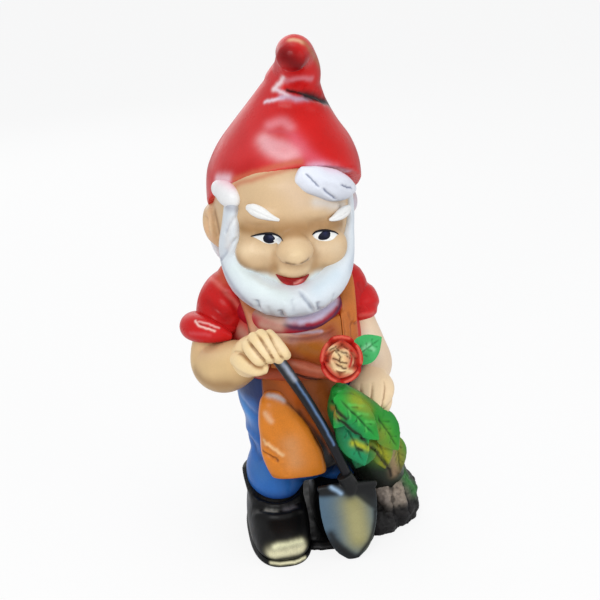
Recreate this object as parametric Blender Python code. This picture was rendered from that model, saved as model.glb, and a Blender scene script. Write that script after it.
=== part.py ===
"""Garden gnome with a spade and a rose bush, as an assembly of moulded and painted pieces.

Units are metres, +Z is up, the gnome looks along -Y and stands on z = 0. Right and left are the gnome's own,
so the right hand, which holds the spade, is on the -X side. Every piece is skinned over a few rings, and a
piece that sits on another is cut by it with the fitting gap, so that the two mate over their whole seat.
"""

import math

import bmesh
import bpy
from mathutils import Matrix, Vector

# Fits and cloth
FIT_GAP = 0.0003
CLOTH_THICKNESS = 0.004

# Boots and ground
BOOT_LENGTH = 0.104
BOOT_WIDTH = 0.047
BOOT_HEIGHT = 0.046
SOLE_THICKNESS = 0.005
WELT = 0.0012
BOOT_SQUARENESS = 2.6
STANCE = 0.054
STEP = 0.014
PLINTH_HEIGHT = SOLE_THICKNESS
PLINTH_WIDTH = 0.084
PLINTH_DEPTH = 0.116

# Trousers and shirt
LEG_WIDTH = 0.044
LEG_DEPTH = 0.052
LEG_SINK = 0.010
HIP_WIDTH = 0.105
HIP_DEPTH = 0.108
WAIST_HEIGHT = 0.105
SHIRT_HEIGHT = 0.094
WAIST_PLUG_DIAMETER = 0.064
WAIST_PLUG_LENGTH = 0.012
CHEST_WIDTH = 0.112
CHEST_DEPTH = 0.118
COLLAR_THICKNESS = 0.018
COLLAR_WIDTH = CHEST_WIDTH * 0.714
COLLAR_DEPTH = CHEST_DEPTH * 0.83

# Head
HEAD_WIDTH = 0.108
HEAD_DEPTH = 0.126
HEAD_HEIGHT = 0.136
NECK_DIAMETER = 0.044
SPIGOT_LENGTH = 0.016
NOSE_LENGTH = 0.018
NOSE_WIDTH = 0.027
CHEEK_WIDTH = 0.034
EYE_WIDTH = 0.018
LIP_THICKNESS = 0.007
EAR_HEIGHT = 0.036
EAR_DEPTH = 0.025
EAR_THICKNESS = 0.017
BEARD_LENGTH = HEAD_HEIGHT * 0.265
BEARD_THICKNESS = HEAD_DEPTH * 0.30
BROW_THICKNESS = HEAD_HEIGHT * 0.059
TUFT_THICKNESS = HEAD_HEIGHT * 0.147

# Cap
CAP_WIDTH = HEAD_WIDTH * 1.09
CAP_DEPTH = HEAD_DEPTH * 1.063
CAP_HEIGHT = 0.104
CAP_TIP_WIDTH = 0.032
CAP_TIP_REACH = 0.037

# Arms
UPPER_ARM_LENGTH = SHIRT_HEIGHT * 0.59
HAND_REACH = 0.046
SLEEVE_WIDTH = SHIRT_HEIGHT * 0.49
FOREARM_WIDTH = SLEEVE_WIDTH * 0.825
SHOULDER_PEG_DIAMETER = 0.014
SHOULDER_PEG_LENGTH = 0.012
WRIST_PEG_DIAMETER = 0.011
WRIST_PEG_LENGTH = 0.006
FIST_WIDTH = 0.042
FINGER_WIDTH = 0.0105

# Apron
BIB_WIDTH = CHEST_WIDTH * 0.52
STRAP_WIDTH = CHEST_WIDTH * 0.125
TIE_WIDTH = 0.012
SKIRT_LENGTH = 0.088
POCKET_BULGE = 0.009

# Spade
BLADE_WIDTH = 0.046
BLADE_LENGTH = 0.056
BLADE_THICKNESS = 0.0036
TREAD_DEPTH = 0.007
SHAFT_DIAMETER = 0.0085
SHAFT_LENGTH = 0.139
SOCKET_LENGTH = 0.016
SPADE_CLEARANCE = 0.033

# Rose bush
MOUND_WIDTH = 0.055
MOUND_HEIGHT = 0.050
BUSH_HEIGHT = 0.106
BUSH_WIDTH = 0.052
STEM_DIAMETER = 0.0056
LEAF_LENGTH = 0.036
LEAF_THICKNESS = 0.005
ROSE_DIAMETER = 0.035
ROSE_LEAF_LENGTH = 0.038
PETAL_THICKNESS = 0.0036

# Where the axes of the figure stand, from the ground up
BODY_X = -0.009
HEAD_X = -0.017
RIGHT_BOOT = Vector((-0.038, -0.042, 0))
LEFT_BOOT = RIGHT_BOOT + Vector((STANCE, STEP, 0))
PLINTH_CENTRE = Vector((-0.004, -0.022, 0))
MOUND_CENTRE = Vector((0.054, -0.033, 0))
SPADE_FOOT = Vector((0.014, -CHEST_DEPTH / 2 - SPADE_CLEARANCE, 0.001))
SPADE_TOP_LEAN = Vector((-0.429, -0.023, 0.903)).normalized()
NECK_Z = WAIST_HEIGHT + SHIRT_HEIGHT
CHIN_Z = NECK_Z + FIT_GAP
TIE_Z = WAIST_HEIGHT + 0.48 * SHIRT_HEIGHT
SHOULDER_Z = NECK_Z - 0.064 * SHIRT_HEIGHT

X, Y, Z = Vector((1, 0, 0)), Vector((0, 1, 0)), Vector((0, 0, 1))


class Tube:
    """A closed skin over rings. A row is (x, y, z, half size along side, half size across it). The rings are
    ellipses where square is 2, and squarer above that."""

    def __init__(self, rows, side=X, level=False, loop=False, sides=16, spans=1, square=2):
        self.rows = rows
        self.side = side
        self.level = level
        self.loop = loop
        self.sides = sides
        self.spans = spans
        self.square = square


class Block:
    """A box between two corners, for trimming."""

    def __init__(self, low, high):
        self.low = Vector(low)
        self.high = Vector(high)


def between(a, b, c, d, t):
    """The curve through b and c at share t, with a and d as its neighbours."""
    return 0.5 * (2 * b + (c - a) * t + (2 * a - 5 * b + 4 * c - d) * t * t + (3 * b - a - 3 * c + d) * t**3)


def smooth_rows(tube):
    """The tube's rows with rings added between them along a smooth curve."""
    rows, count = tube.rows, len(tube.rows)
    last = count if tube.loop else count - 1
    found = []
    for i in range(last):
        picks = [(i + k) % count if tube.loop else min(max(i + k, 0), count - 1) for k in (-1, 0, 1, 2)]
        for step in range(tube.spans):
            share = step / tube.spans
            found.append([between(*(rows[p][n] for p in picks), share) for n in range(5)])
    return found if tube.loop else found + [list(rows[-1])]


def ring_matrices(tube, grow):
    """One matrix for each ring: its axes carry the half sizes, and grow widens it all round and at its ends.
    """
    rows = smooth_rows(tube)
    centres = [Vector(found[:3]) for found in rows]
    made = []
    for i, found in enumerate(rows):
        if tube.loop:
            along = (centres[(i + 1) % len(rows)] - centres[i - 1]).normalized()
        else:
            along = (centres[min(i + 1, len(rows) - 1)] - centres[max(i - 1, 0)]).normalized()
        if tube.level:
            along = Z * (1 if along.z > 0 else -1)
        side = (tube.side - along * tube.side.dot(along)).normalized()
        across = along.cross(side)
        centre = centres[i]
        if not tube.loop and i == 0:
            centre = centre - along * grow
        if not tube.loop and i == len(rows) - 1:
            centre = centre + along * grow
        half_side = max(found[3] + grow, FIT_GAP)
        half_across = max(found[4] + grow, FIT_GAP)
        matrix = Matrix((side * half_side, across * half_across, along)).transposed().to_4x4()
        matrix.translation = centre
        made.append(matrix)
    return made


def tube_mesh(tube, grow):
    """Rings of the tube, bridged one to the next, with closed ends."""
    bm = bmesh.new()
    loops = []
    matrices = ring_matrices(tube, grow)
    for i, matrix in enumerate(matrices):
        is_end = not tube.loop and i in (0, len(matrices) - 1)
        ring = bmesh.ops.create_circle(bm, cap_ends=is_end, segments=tube.sides, radius=1)
        verts = ring["verts"]
        for vert in verts:
            vert.co /= (abs(vert.co.x) ** tube.square + abs(vert.co.y) ** tube.square) ** (1 / tube.square)
        bmesh.ops.transform(bm, matrix=matrix, verts=verts)
        loops.append([bm.edges.get((verts[k], verts[(k + 1) % tube.sides])) for k in range(tube.sides)])
    for first, second in zip(loops, loops[1:] + (loops[:1] if tube.loop else [])):
        bmesh.ops.bridge_loops(bm, edges=first + second)
    bmesh.ops.recalc_face_normals(bm, faces=bm.faces)
    bmesh.ops.triangulate(bm, faces=bm.faces)
    return bm


def block_mesh(block):
    bm = bmesh.new()
    size = block.high - block.low
    place = Matrix.Translation((block.low + block.high) / 2) @ Matrix.Diagonal((*size, 1))
    bmesh.ops.create_cube(bm, size=1, matrix=place)
    return bm


def new_object(name, form, grow=0.0):
    bm = block_mesh(form) if isinstance(form, Block) else tube_mesh(form, grow)
    mesh = bpy.data.meshes.new(name)
    bm.to_mesh(mesh)
    bm.free()
    mesh.shade_smooth()
    mesh.set_sharp_from_angle(angle=math.radians(50))
    made = bpy.data.objects.new(name, mesh)
    bpy.context.scene.collection.objects.link(made)
    return made


helpers = {}


def helper(form, grow=0.0):
    """A hidden solid of the form, made once for each allowance."""
    key = (form, grow)
    if key not in helpers:
        made = new_object(f"helper_{len(helpers)}", form, grow)
        made.hide_render = True
        made.display_type = "WIRE"
        helpers[key] = made
    return helpers[key]


def combine(target, form, operation, grow=0.0):
    modifier = target.modifiers.new(operation.lower(), "BOOLEAN")
    modifier.operation = operation
    modifier.solver = "EXACT"
    modifier.object = helper(form, grow)


def paint(name, colour, roughness, metallic=0.0):
    material = bpy.data.materials.new(name)
    material.use_nodes = True
    shader = material.node_tree.nodes["Principled BSDF"]
    shader.inputs["Base Color"].default_value = (*colour, 1)
    shader.inputs["Roughness"].default_value = roughness
    shader.inputs["Metallic"].default_value = metallic
    material.diffuse_color = (*colour, 1)
    return material


def piece(name, forms, finish, within=(), cut_by=(), pegs=(), grow=0.0):
    """One moulding: the union of its forms, trimmed to the forms in within, cut by its neighbours with the
    fitting gap, and given its pegs last."""
    made = new_object(name, forms[0], grow)
    for form in forms[1:]:
        combine(made, form, "UNION", grow)
    for form in within:
        combine(made, form, "INTERSECT")
    for form in cut_by:
        combine(made, form, "DIFFERENCE", FIT_GAP)
    for form in pegs:
        combine(made, form, "UNION")
    made.data.materials.append(finish)
    return made


def row(point, half_side, half_across):
    return (*point, half_side, half_across)


def round_row(point, half):
    return (*point, half, half)


# Forms of the feet and the ground

BOOT_PROFILE = (
    (0.00, 0.95, 0.95, 0.00),
    (0.16, 1.00, 1.00, 0.00),
    (0.42, 0.97, 0.94, 0.01),
    (0.62, 0.95, 0.76, 0.10),
    (0.80, 1.02, 0.63, 0.17),
    (1.00, 1.09, 0.58, 0.20),
)


def boot_forms(centre):
    """The sole and the upper of one boot, whose rim stands round the trouser leg."""
    half_width, half_length = BOOT_WIDTH / 2, BOOT_LENGTH / 2
    height = BOOT_HEIGHT - SOLE_THICKNESS - FIT_GAP
    rows = []
    for share, wide, long, back in BOOT_PROFILE:
        at = centre + Vector((0, back * BOOT_LENGTH, SOLE_THICKNESS + FIT_GAP + share * height))
        rows.append(row(at, half_width * wide, half_length * long))
    sole_rows = [row(centre + Z * z, half_width + WELT, half_length + WELT) for z in (0, SOLE_THICKNESS)]
    sole = Tube(sole_rows, level=True, sides=24, square=BOOT_SQUARENESS)
    upper = Tube(rows, level=True, sides=24, square=BOOT_SQUARENESS)
    return sole, upper


def leg_form(boot_centre):
    """A trouser leg, from its seat inside the boot up into the hips."""
    axis = boot_centre + Y * 0.20 * BOOT_LENGTH
    half, deep = LEG_WIDTH / 2, LEG_DEPTH / 2
    hip = Vector((BODY_X * 0.5 + boot_centre.x * 0.5, axis.y * 0.6, WAIST_HEIGHT * 0.9))
    rows = [
        row(axis + Z * (BOOT_HEIGHT - LEG_SINK), half, deep),
        row(axis + Z * BOOT_HEIGHT * 1.13, half * 1.06, deep * 1.06),
        row(axis.lerp(hip, 0.4) + Z * BOOT_HEIGHT * 0.6, half * 1.2, deep * 1.16),
        row(hip, half * 1.1, deep * 1.1),
    ]
    return Tube(rows, level=True, sides=14)


SOLE_RIGHT, BOOT_RIGHT = boot_forms(RIGHT_BOOT)
SOLE_LEFT, BOOT_LEFT = boot_forms(LEFT_BOOT)
LEG_RIGHT, LEG_LEFT = leg_form(RIGHT_BOOT), leg_form(LEFT_BOOT)
BOOTS = (SOLE_RIGHT, BOOT_RIGHT, SOLE_LEFT, BOOT_LEFT)

PLINTH = Tube(
    [
        row(PLINTH_CENTRE, PLINTH_WIDTH / 2, PLINTH_DEPTH / 2),
        row(PLINTH_CENTRE + Z * PLINTH_HEIGHT * 0.6, PLINTH_WIDTH / 2 * 0.98, PLINTH_DEPTH / 2 * 0.98),
        row(PLINTH_CENTRE + Z * PLINTH_HEIGHT, PLINTH_WIDTH / 2 * 0.9, PLINTH_DEPTH / 2 * 0.92),
    ],
    level=True,
    sides=20,
)

MOUND_PROFILE = (
    (0.0, 0.94, 0.92),
    (0.28, 1.0, 0.98),
    (0.6, 0.86, 0.88),
    (0.86, 0.58, 0.62),
    (1.0, 0.2, 0.24),
)
MOUND = Tube(
    [
        row(MOUND_CENTRE + Z * MOUND_HEIGHT * share, MOUND_WIDTH / 2 * wide, MOUND_WIDTH / 2 * deep)
        for share, wide, deep in MOUND_PROFILE
    ],
    level=True,
)

# Forms of the body

HIPS = Tube(
    [
        (BODY_X, -0.11 * HIP_DEPTH, BOOT_HEIGHT * 1.17, HIP_WIDTH * 0.30, HIP_DEPTH * 0.30),
        (BODY_X, -0.07 * HIP_DEPTH, BOOT_HEIGHT * 1.39, HIP_WIDTH * 0.46, HIP_DEPTH * 0.44),
        (BODY_X, -0.04 * HIP_DEPTH, WAIST_HEIGHT * 0.79, HIP_WIDTH * 0.50, HIP_DEPTH * 0.50),
        (BODY_X, -0.02 * HIP_DEPTH, WAIST_HEIGHT - FIT_GAP, HIP_WIDTH * 0.49, HIP_DEPTH * 0.50),
    ],
    level=True,
    sides=18,
)

SHIRT_PROFILE = (
    (0.00, 0.93, 0.96, 0.006),
    (0.22, 0.97, 1.00, 0.020),
    (0.50, 1.00, 1.00, 0.032),
    (0.74, 1.00, 0.94, 0.032),
    (0.92, 0.90, 0.80, 0.028),
    (1.00, 0.66, 0.60, 0.020),
)
SHIRT = Tube(
    [
        (
            BODY_X + (HEAD_X - BODY_X) * share,
            -forward * CHEST_DEPTH,
            WAIST_HEIGHT + share * SHIRT_HEIGHT,
            CHEST_WIDTH / 2 * wide,
            CHEST_DEPTH / 2 * deep,
        )
        for share, wide, deep, forward in SHIRT_PROFILE
    ],
    level=True,
    sides=18,
)
WAIST_PLUG = Tube(
    [
        (BODY_X, -0.02 * HIP_DEPTH, z, WAIST_PLUG_DIAMETER / 2, WAIST_PLUG_DIAMETER / 2)
        for z in (WAIST_HEIGHT - WAIST_PLUG_LENGTH, WAIST_HEIGHT + WAIST_PLUG_LENGTH)
    ],
    level=True,
    sides=14,
)


# Forms of the head and of the collar round its neck

HEAD_Y = -0.032 * HEAD_DEPTH
HEAD_PROFILE = (
    (0.00, 0.34, 0.10),
    (0.06, 0.62, 0.08),
    (0.17, 0.84, 0.05),
    (0.34, 0.97, 0.02),
    (0.52, 1.00, 0.00),
    (0.70, 0.96, -0.01),
    (0.85, 0.80, -0.02),
    (0.95, 0.52, -0.02),
    (1.00, 0.18, -0.02),
)
HEAD = Tube(
    [
        (
            HEAD_X,
            HEAD_Y - forward * HEAD_DEPTH,
            CHIN_Z + share * HEAD_HEIGHT,
            HEAD_WIDTH / 2 * size,
            HEAD_DEPTH / 2 * size,
        )
        for share, size, forward in HEAD_PROFILE
    ],
    level=True,
    sides=18,
)


def collar_form():
    """A roll of cloth round the neck, lower in front."""
    rows = []
    for k in range(12):
        turn = 2 * math.pi * k / 12
        at = Vector((HEAD_X, HEAD_Y * 1.5, NECK_Z))
        at.x += COLLAR_WIDTH / 2 * math.sin(turn)
        at.y -= COLLAR_DEPTH / 2 * math.cos(turn)
        at.z -= COLLAR_THICKNESS * (0.11 + 0.55 * math.cos(turn))
        rows.append(round_row(at, COLLAR_THICKNESS / 2))
    return Tube(rows, side=Z, loop=True, sides=8)


COLLAR = collar_form()


def on_face(across, share, out=0.0):
    """A point on the face at these shares of the head's half width and of its height, moved out by a share of
    the head's depth."""
    lower = max(r for r in HEAD_PROFILE if r[0] <= share)
    upper = min(r for r in HEAD_PROFILE if r[0] >= share)
    t = 0 if upper[0] == lower[0] else (share - lower[0]) / (upper[0] - lower[0])
    size = lower[1] + (upper[1] - lower[1]) * t
    forward = lower[2] + (upper[2] - lower[2]) * t
    deep = 0.5 * size * math.sqrt(max(0, 1 - (across / size) ** 2))
    at = Vector((HEAD_X, HEAD_Y, CHIN_Z))
    at.x += across * HEAD_WIDTH / 2
    at.y -= (forward + deep + out) * HEAD_DEPTH
    at.z += share * HEAD_HEIGHT
    return at


NOSE_ROOT = on_face(0, 0.385)
NOSE_PROFILE = (
    (-0.5, 0.22, 0.30, 0.34),
    (0.2, 0.11, 0.48, 0.40),
    (0.65, 0.0, 0.47, 0.38),
    (1.0, 0.0, 0.20, 0.16),
)
NOSE = Tube(
    [
        row(NOSE_ROOT + Vector((0, -ahead, up)) * NOSE_LENGTH, NOSE_WIDTH * wide, NOSE_WIDTH * high)
        for ahead, up, wide, high in NOSE_PROFILE
    ],
    sides=12,
)


def ear_form(hand):
    """hand is -1 for the gnome's right ear and 1 for the left."""
    at = Vector((HEAD_X + hand * HEAD_WIDTH / 2 * 0.98, -HEAD_Y, CHIN_Z + 0.41 * HEAD_HEIGHT))
    half_height, half_depth, half_thick = EAR_HEIGHT / 2, EAR_DEPTH / 2, EAR_THICKNESS / 2
    out = X * hand * half_thick
    rows = [
        row(at - Z * half_height - out * 0.35, half_thick * 0.41, half_depth * 0.4),
        row(at - Z * half_height * 0.5, half_thick * 0.82, half_depth * 0.80),
        row(at + Z * half_height * 0.2 + out * 0.24, half_thick, half_depth),
        row(at + Z * half_height * 0.7 + out * 0.12, half_thick * 0.82, half_depth * 0.86),
        row(at + Z * half_height - out * 0.24, half_thick * 0.41, half_depth * 0.4),
    ]
    return Tube(rows, level=True, sides=12)


EAR_RIGHT, EAR_LEFT = ear_form(-1), ear_form(1)
CHEEK_ROWS = ((0.58, 1.00), (0.18, 0.88), (-0.06, 0.60), (-0.15, 0.24))
EYE_ROWS = ((0.66, 1.00), (0.0, 0.90), (-0.16, 0.45))


def face_forms():
    """Cheeks, the swell of each eye, and the smiling lower lip."""
    forms = []
    for hand in (-1, 1):
        cheek = on_face(hand * 0.5, 0.33)
        half = CHEEK_WIDTH / 2
        cheek_rows = [round_row(cheek + Y * half * back, half * size) for back, size in CHEEK_ROWS]
        forms.append(Tube(cheek_rows, sides=12))
        eye = on_face(hand * 0.41, 0.455)
        half = EYE_WIDTH / 2
        eye_rows = [row(eye + Y * half * back, half * size, half / 2 * size) for back, size in EYE_ROWS]
        forms.append(Tube(eye_rows, sides=10))
    corner, middle = on_face(0.22, 0.245, 0.008), on_face(0, 0.205, 0.011)
    half = LIP_THICKNESS / 2
    lip = [
        row((2 * HEAD_X - corner.x, corner.y, corner.z), half * 0.34, half * 0.28),
        round_row(middle + Vector((-1.7, 0, 0.3)) * half, half),
        round_row(middle + Vector((1.7, 0, 0.3)) * half, half),
        row(corner, half * 0.34, half * 0.28),
    ]
    forms.append(Tube(lip, side=Z, sides=8))
    return forms


FACE = face_forms()

NECK_AXIS = Vector((HEAD_X, HEAD_Y, 0))
SPIGOT = Tube(
    [
        round_row(NECK_AXIS + Z * z, NECK_DIAMETER / 2)
        for z in (NECK_Z - SPIGOT_LENGTH, CHIN_Z + SPIGOT_LENGTH * 1.25)
    ],
    level=True,
)


def beard_form():
    """A full beard from one temple round the jaw to the other."""
    half_length, half_thick = BEARD_LENGTH / 2, BEARD_THICKNESS / 2
    right_rows = (
        (-0.89, 0.150, 0.54, 0.42, 0.30),
        (-0.86, 0.175, 0.30, 0.92, 0.58),
        (-0.60, 0.325, 0.15, 1.04, 0.90),
        (-0.31, 0.415, 0.08, 1.06, 0.98),
    )
    middle_row = (0.0, 0.429, 0.055, 1.06, 1.0)
    left_rows = (
        (0.31, 0.415, 0.08, 1.06, 0.98),
        (0.58, 0.325, 0.15, 1.04, 0.90),
        (0.79, 0.165, 0.30, 0.90, 0.52),
        (0.84, 0.140, 0.54, 0.40, 0.28),
    )
    rows = []
    for across, forward, up, thick, long in (*right_rows, middle_row, *left_rows):
        at = Vector((HEAD_X + across * HEAD_WIDTH / 2, -forward * HEAD_DEPTH, CHIN_Z + up * HEAD_HEIGHT))
        rows.append(row(at, half_thick * thick, half_length * long))
    return Tube(rows, side=-Y, sides=14)


BEARD = beard_form()


def brow_form(hand):
    inner = on_face(hand * 0.20, 0.565, 0.008)
    outer = on_face(hand * 0.63, 0.625, 0.008)
    half = BROW_THICKNESS / 2
    rows = [
        row(inner, half * 0.30, half * 0.40),
        row(inner.lerp(outer, 0.35) - Y * half * 0.5, half * 0.85, half),
        row(inner.lerp(outer, 0.75) - Y * half * 0.5, half, half * 1.15),
        row(outer, half * 0.40, half * 0.55),
    ]
    return Tube(rows, side=-Y, sides=10)


# Forms of the cap, a cone whose tip folds over to the front

CAP_RIM = Vector((HEAD_X + 0.043 * HEAD_WIDTH, HEAD_Y, CHIN_Z + 0.575 * HEAD_HEIGHT))
CAP_PROFILE = (
    (0.00, 0.00, 0.00, 1.00, 1.00),
    (0.00, 0.08, 0.20, 1.00, 0.93),
    (0.02, 0.13, 0.40, 0.87, 0.76),
    (0.06, 0.13, 0.60, 0.64, 0.55),
    (0.10, 0.09, 0.78, 0.45, 0.39),
)
CAP_TIP_PROFILE = (
    (0.105, 0.01, 0.93, 1.22),
    (0.10, -0.30, 1.035, 1.08),
    (0.075, -0.60, 1.07, 0.98),
    (0.045, -0.86, 1.04, 0.72),
    (0.025, -1.00, 1.00, 0.28),
)


def cap_form():
    rows = [
        (
            CAP_RIM.x + across * CAP_HEIGHT,
            CAP_RIM.y + back * CAP_HEIGHT,
            CAP_RIM.z + up * CAP_HEIGHT,
            CAP_WIDTH / 2 * wide,
            CAP_DEPTH / 2 * deep,
        )
        for across, back, up, wide, deep in CAP_PROFILE
    ]
    rows += [
        (
            CAP_RIM.x + across * CAP_HEIGHT,
            CAP_RIM.y + back * CAP_TIP_REACH,
            CAP_RIM.z + up * CAP_HEIGHT,
            CAP_TIP_WIDTH / 2 * size,
            CAP_TIP_WIDTH / 2 * size,
        )
        for across, back, up, size in CAP_TIP_PROFILE
    ]
    return Tube(rows, sides=18)


CAP = cap_form()

# Forms of the hair that shows under the cap

HALF_TUFT = TUFT_THICKNESS / 2
TUFT_RIGHT = Tube(
    [
        row(on_face(-0.85, 0.72), HALF_TUFT * 0.6, HALF_TUFT * 0.7),
        row(on_face(-0.89, 0.66, 0.024), HALF_TUFT * 0.9, HALF_TUFT),
        row(on_face(-0.89, 0.60, 0.024), HALF_TUFT * 0.9, HALF_TUFT),
        row(on_face(-0.87, 0.54, 0.008), HALF_TUFT * 0.4, HALF_TUFT * 0.5),
    ],
    sides=12,
)
TUFT_LEFT = Tube(
    [
        round_row(on_face(0.07, 0.80), HALF_TUFT * 0.4),
        row(on_face(0.33, 0.75, 0.024), HALF_TUFT * 0.9, HALF_TUFT * 0.8),
        row(on_face(0.61, 0.69, 0.024), HALF_TUFT * 1.1, HALF_TUFT * 0.9),
        row(on_face(0.83, 0.63, 0.016), HALF_TUFT * 0.9, HALF_TUFT * 0.8),
        row(on_face(0.96, 0.58), HALF_TUFT * 0.4, HALF_TUFT * 0.5),
    ],
    side=Z,
    sides=12,
)
BACK_HAIR_PROFILE = (
    (0.10, 0.11, 0.38, 0.34),
    (0.22, 0.08, 0.50, 0.47),
    (0.38, 0.065, 0.54, 0.51),
    (0.62, 0.05, 0.53, 0.51),
)
BACK_HAIR = Tube(
    [
        (HEAD_X, back * HEAD_DEPTH, CHIN_Z + share * HEAD_HEIGHT, HEAD_WIDTH * wide, HEAD_DEPTH * deep)
        for share, back, wide, deep in BACK_HAIR_PROFILE
    ],
    level=True,
    sides=20,
)
BEHIND_EARS = Block((HEAD_X - HEAD_WIDTH, 0.095 * HEAD_DEPTH, 0), (HEAD_X + HEAD_WIDTH, HEAD_DEPTH, 1))

# Forms of the spade, which stands on the ground and leans into the right hand

BLADE_TOP = SPADE_FOOT + Vector((0, 0.107, 1)) * BLADE_LENGTH
BLADE_PROFILE = ((0.0, 0.22), (0.12, 0.55), (0.40, 0.90), (0.75, 1.0), (1.0, 0.98))
BLADE = Tube(
    [
        row(SPADE_FOOT.lerp(BLADE_TOP, share), BLADE_WIDTH / 2 * wide, BLADE_THICKNESS / 2)
        for share, wide in BLADE_PROFILE
    ],
    spans=2,
)
TREAD = Tube(
    [
        row(BLADE_TOP + X * BLADE_WIDTH / 2 * across, BLADE_THICKNESS * high, TREAD_DEPTH / 2)
        for across, high in ((-0.97, 0.4), (-0.45, 0.6), (0.45, 0.6), (0.97, 0.4))
    ],
    side=Z,
    sides=8,
)
SHAFT_FOOT = BLADE_TOP + X * SHAFT_DIAMETER * 0.35 - SPADE_TOP_LEAN * SHAFT_DIAMETER * 0.47
SHAFT_TOP = SHAFT_FOOT + SPADE_TOP_LEAN * SHAFT_LENGTH
SHAFT = Tube(
    [round_row(SHAFT_FOOT.lerp(SHAFT_TOP, t), SHAFT_DIAMETER / 2) for t in (0, 1)],
    sides=12,
)
SOCKET = Tube(
    [
        round_row(BLADE_TOP - Z * SOCKET_LENGTH, SHAFT_DIAMETER * 0.35),
        round_row(BLADE_TOP, SHAFT_DIAMETER * 0.72),
        round_row(SHAFT_FOOT + SPADE_TOP_LEAN * SOCKET_LENGTH, SHAFT_DIAMETER * 0.75),
    ],
    sides=12,
)

# Forms of the arms

SHOULDER_Y = -0.017 * CHEST_DEPTH
SHOULDER_RIGHT = Vector((BODY_X - CHEST_WIDTH * 0.41, SHOULDER_Y, SHOULDER_Z))
SHOULDER_LEFT = Vector((BODY_X + CHEST_WIDTH * 0.33, SHOULDER_Y, SHOULDER_Z - 0.06 * SHIRT_HEIGHT))
ELBOW_RIGHT = SHOULDER_RIGHT + Vector((-0.54, -0.54, -0.64)) * UPPER_ARM_LENGTH
ELBOW_LEFT = SHOULDER_LEFT + Vector((0.40, -0.145, -0.80)) * UPPER_ARM_LENGTH
GRIP = SHAFT_FOOT.lerp(SHAFT_TOP, 0.95)
WRIST_RIGHT = ELBOW_RIGHT.lerp(GRIP, 0.62)
HAND_LEFT_AT = ELBOW_LEFT + Vector((-0.22, -0.87, -0.435)) * HAND_REACH
HALF_SLEEVE, HALF_ARM = SLEEVE_WIDTH / 2, FOREARM_WIDTH / 2


def arm_rows(root, unit, places):
    """Rows placed from a shoulder or an elbow by shares of the sleeve's or the arm's half width."""
    return [row(root + Vector(at) * unit, unit * wide, unit * deep) for *at, wide, deep in places]


SLEEVE_RIGHT = Tube(
    arm_rows(
        SHOULDER_RIGHT,
        HALF_SLEEVE,
        (
            (0.52, 0.0, 0.09, 0.60, 0.70),
            (-0.13, -0.09, 0.22, 0.91, 0.97),
            (-0.48, -0.43, 0.04, 0.95, 1.00),
            (-0.70, -0.69, -0.30, 0.89, 0.89),
            (-0.74, -0.82, -0.65, 0.74, 0.78),
        ),
    ),
    side=Y,
)
CUFF_RIGHT = Tube(
    arm_rows(
        SHOULDER_RIGHT,
        HALF_SLEEVE,
        (
            (-1.09, -0.09, -0.67, 0.38, 0.38),
            (-1.33, -0.24, -0.67, 0.42, 0.43),
            (-1.61, -0.61, -0.58, 0.46, 0.48),
            (-1.63, -1.13, -0.45, 0.47, 0.50),
            (-1.36, -1.60, -0.41, 0.44, 0.44),
            (-0.91, -1.86, -0.48, 0.32, 0.29),
            (-0.52, -1.97, -0.59, 0.14, 0.12),
        ),
    ),
    side=Z,
)
FOREARM_RIGHT = Tube(
    [
        round_row(ELBOW_RIGHT + Vector((0.28, 0.79, 0.0)) * HALF_ARM, HALF_ARM * 0.66),
        round_row(ELBOW_RIGHT + Vector((0.31, 0.37, -0.18)) * HALF_ARM, HALF_ARM * 1.04),
        round_row(ELBOW_RIGHT.lerp(WRIST_RIGHT, 0.28) - Z * HALF_ARM * 0.34, HALF_ARM * 1.08),
        round_row(ELBOW_RIGHT.lerp(WRIST_RIGHT, 0.72) - Z * HALF_ARM * 0.18, HALF_ARM * 0.98),
        round_row(WRIST_RIGHT, HALF_ARM * 0.74),
    ],
    side=Z,
)
SLEEVE_LEFT = Tube(
    arm_rows(
        SHOULDER_LEFT,
        HALF_SLEEVE,
        (
            (-0.52, 0.0, 0.16, 0.60, 0.60),
            (0.04, 0.0, 0.31, 0.82, 0.89),
            (0.32, -0.13, -0.10, 0.85, 0.88),
            (0.45, -0.20, -0.45, 0.78, 0.81),
        ),
    ),
    side=Y,
)
CUFF_LEFT = Tube(
    arm_rows(
        SHOULDER_LEFT,
        HALF_SLEEVE,
        (
            (0.43, -0.19, -0.22, 0.68, 0.70),
            (0.47, -0.21, -0.36, 0.87, 0.90),
            (0.52, -0.23, -0.65, 0.84, 0.86),
            (0.55, -0.25, -0.80, 0.68, 0.70),
        ),
    ),
    side=Y,
)
FOREARM_LEFT = Tube(
    arm_rows(
        ELBOW_LEFT,
        HALF_ARM,
        (
            (-0.56, 0.13, 1.63, 0.64, 0.64),
            (-0.45, 0.08, 0.90, 0.77, 0.77),
            (-0.23, -0.10, 0.11, 0.82, 0.82),
            (-0.04, -0.52, -0.52, 0.81, 0.81),
        ),
    )
    + [round_row(ELBOW_LEFT.lerp(HAND_LEFT_AT, 0.56) - Z * HALF_ARM * 0.26, HALF_ARM * 0.62)],
    side=X,
)


def peg_form(shoulder, hand, drop, reach):
    """A round peg from inside the shirt's wall into the sleeve, dropped by shares of its half diameter."""
    half = SHOULDER_PEG_DIAMETER / 2
    root = shoulder - Z * half * drop
    root.x = BODY_X + hand * (CHEST_WIDTH * 0.45 - SHOULDER_PEG_LENGTH)
    tip = root + X * hand * reach * SHOULDER_PEG_LENGTH
    return Tube([round_row(root, half), round_row(tip, half)], side=Y, sides=10)


PEG_RIGHT = peg_form(SHOULDER_RIGHT, -1, 1.15, 2.0)
PEG_LEFT = peg_form(SHOULDER_LEFT, 1, 0.12, 1.3)


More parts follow.
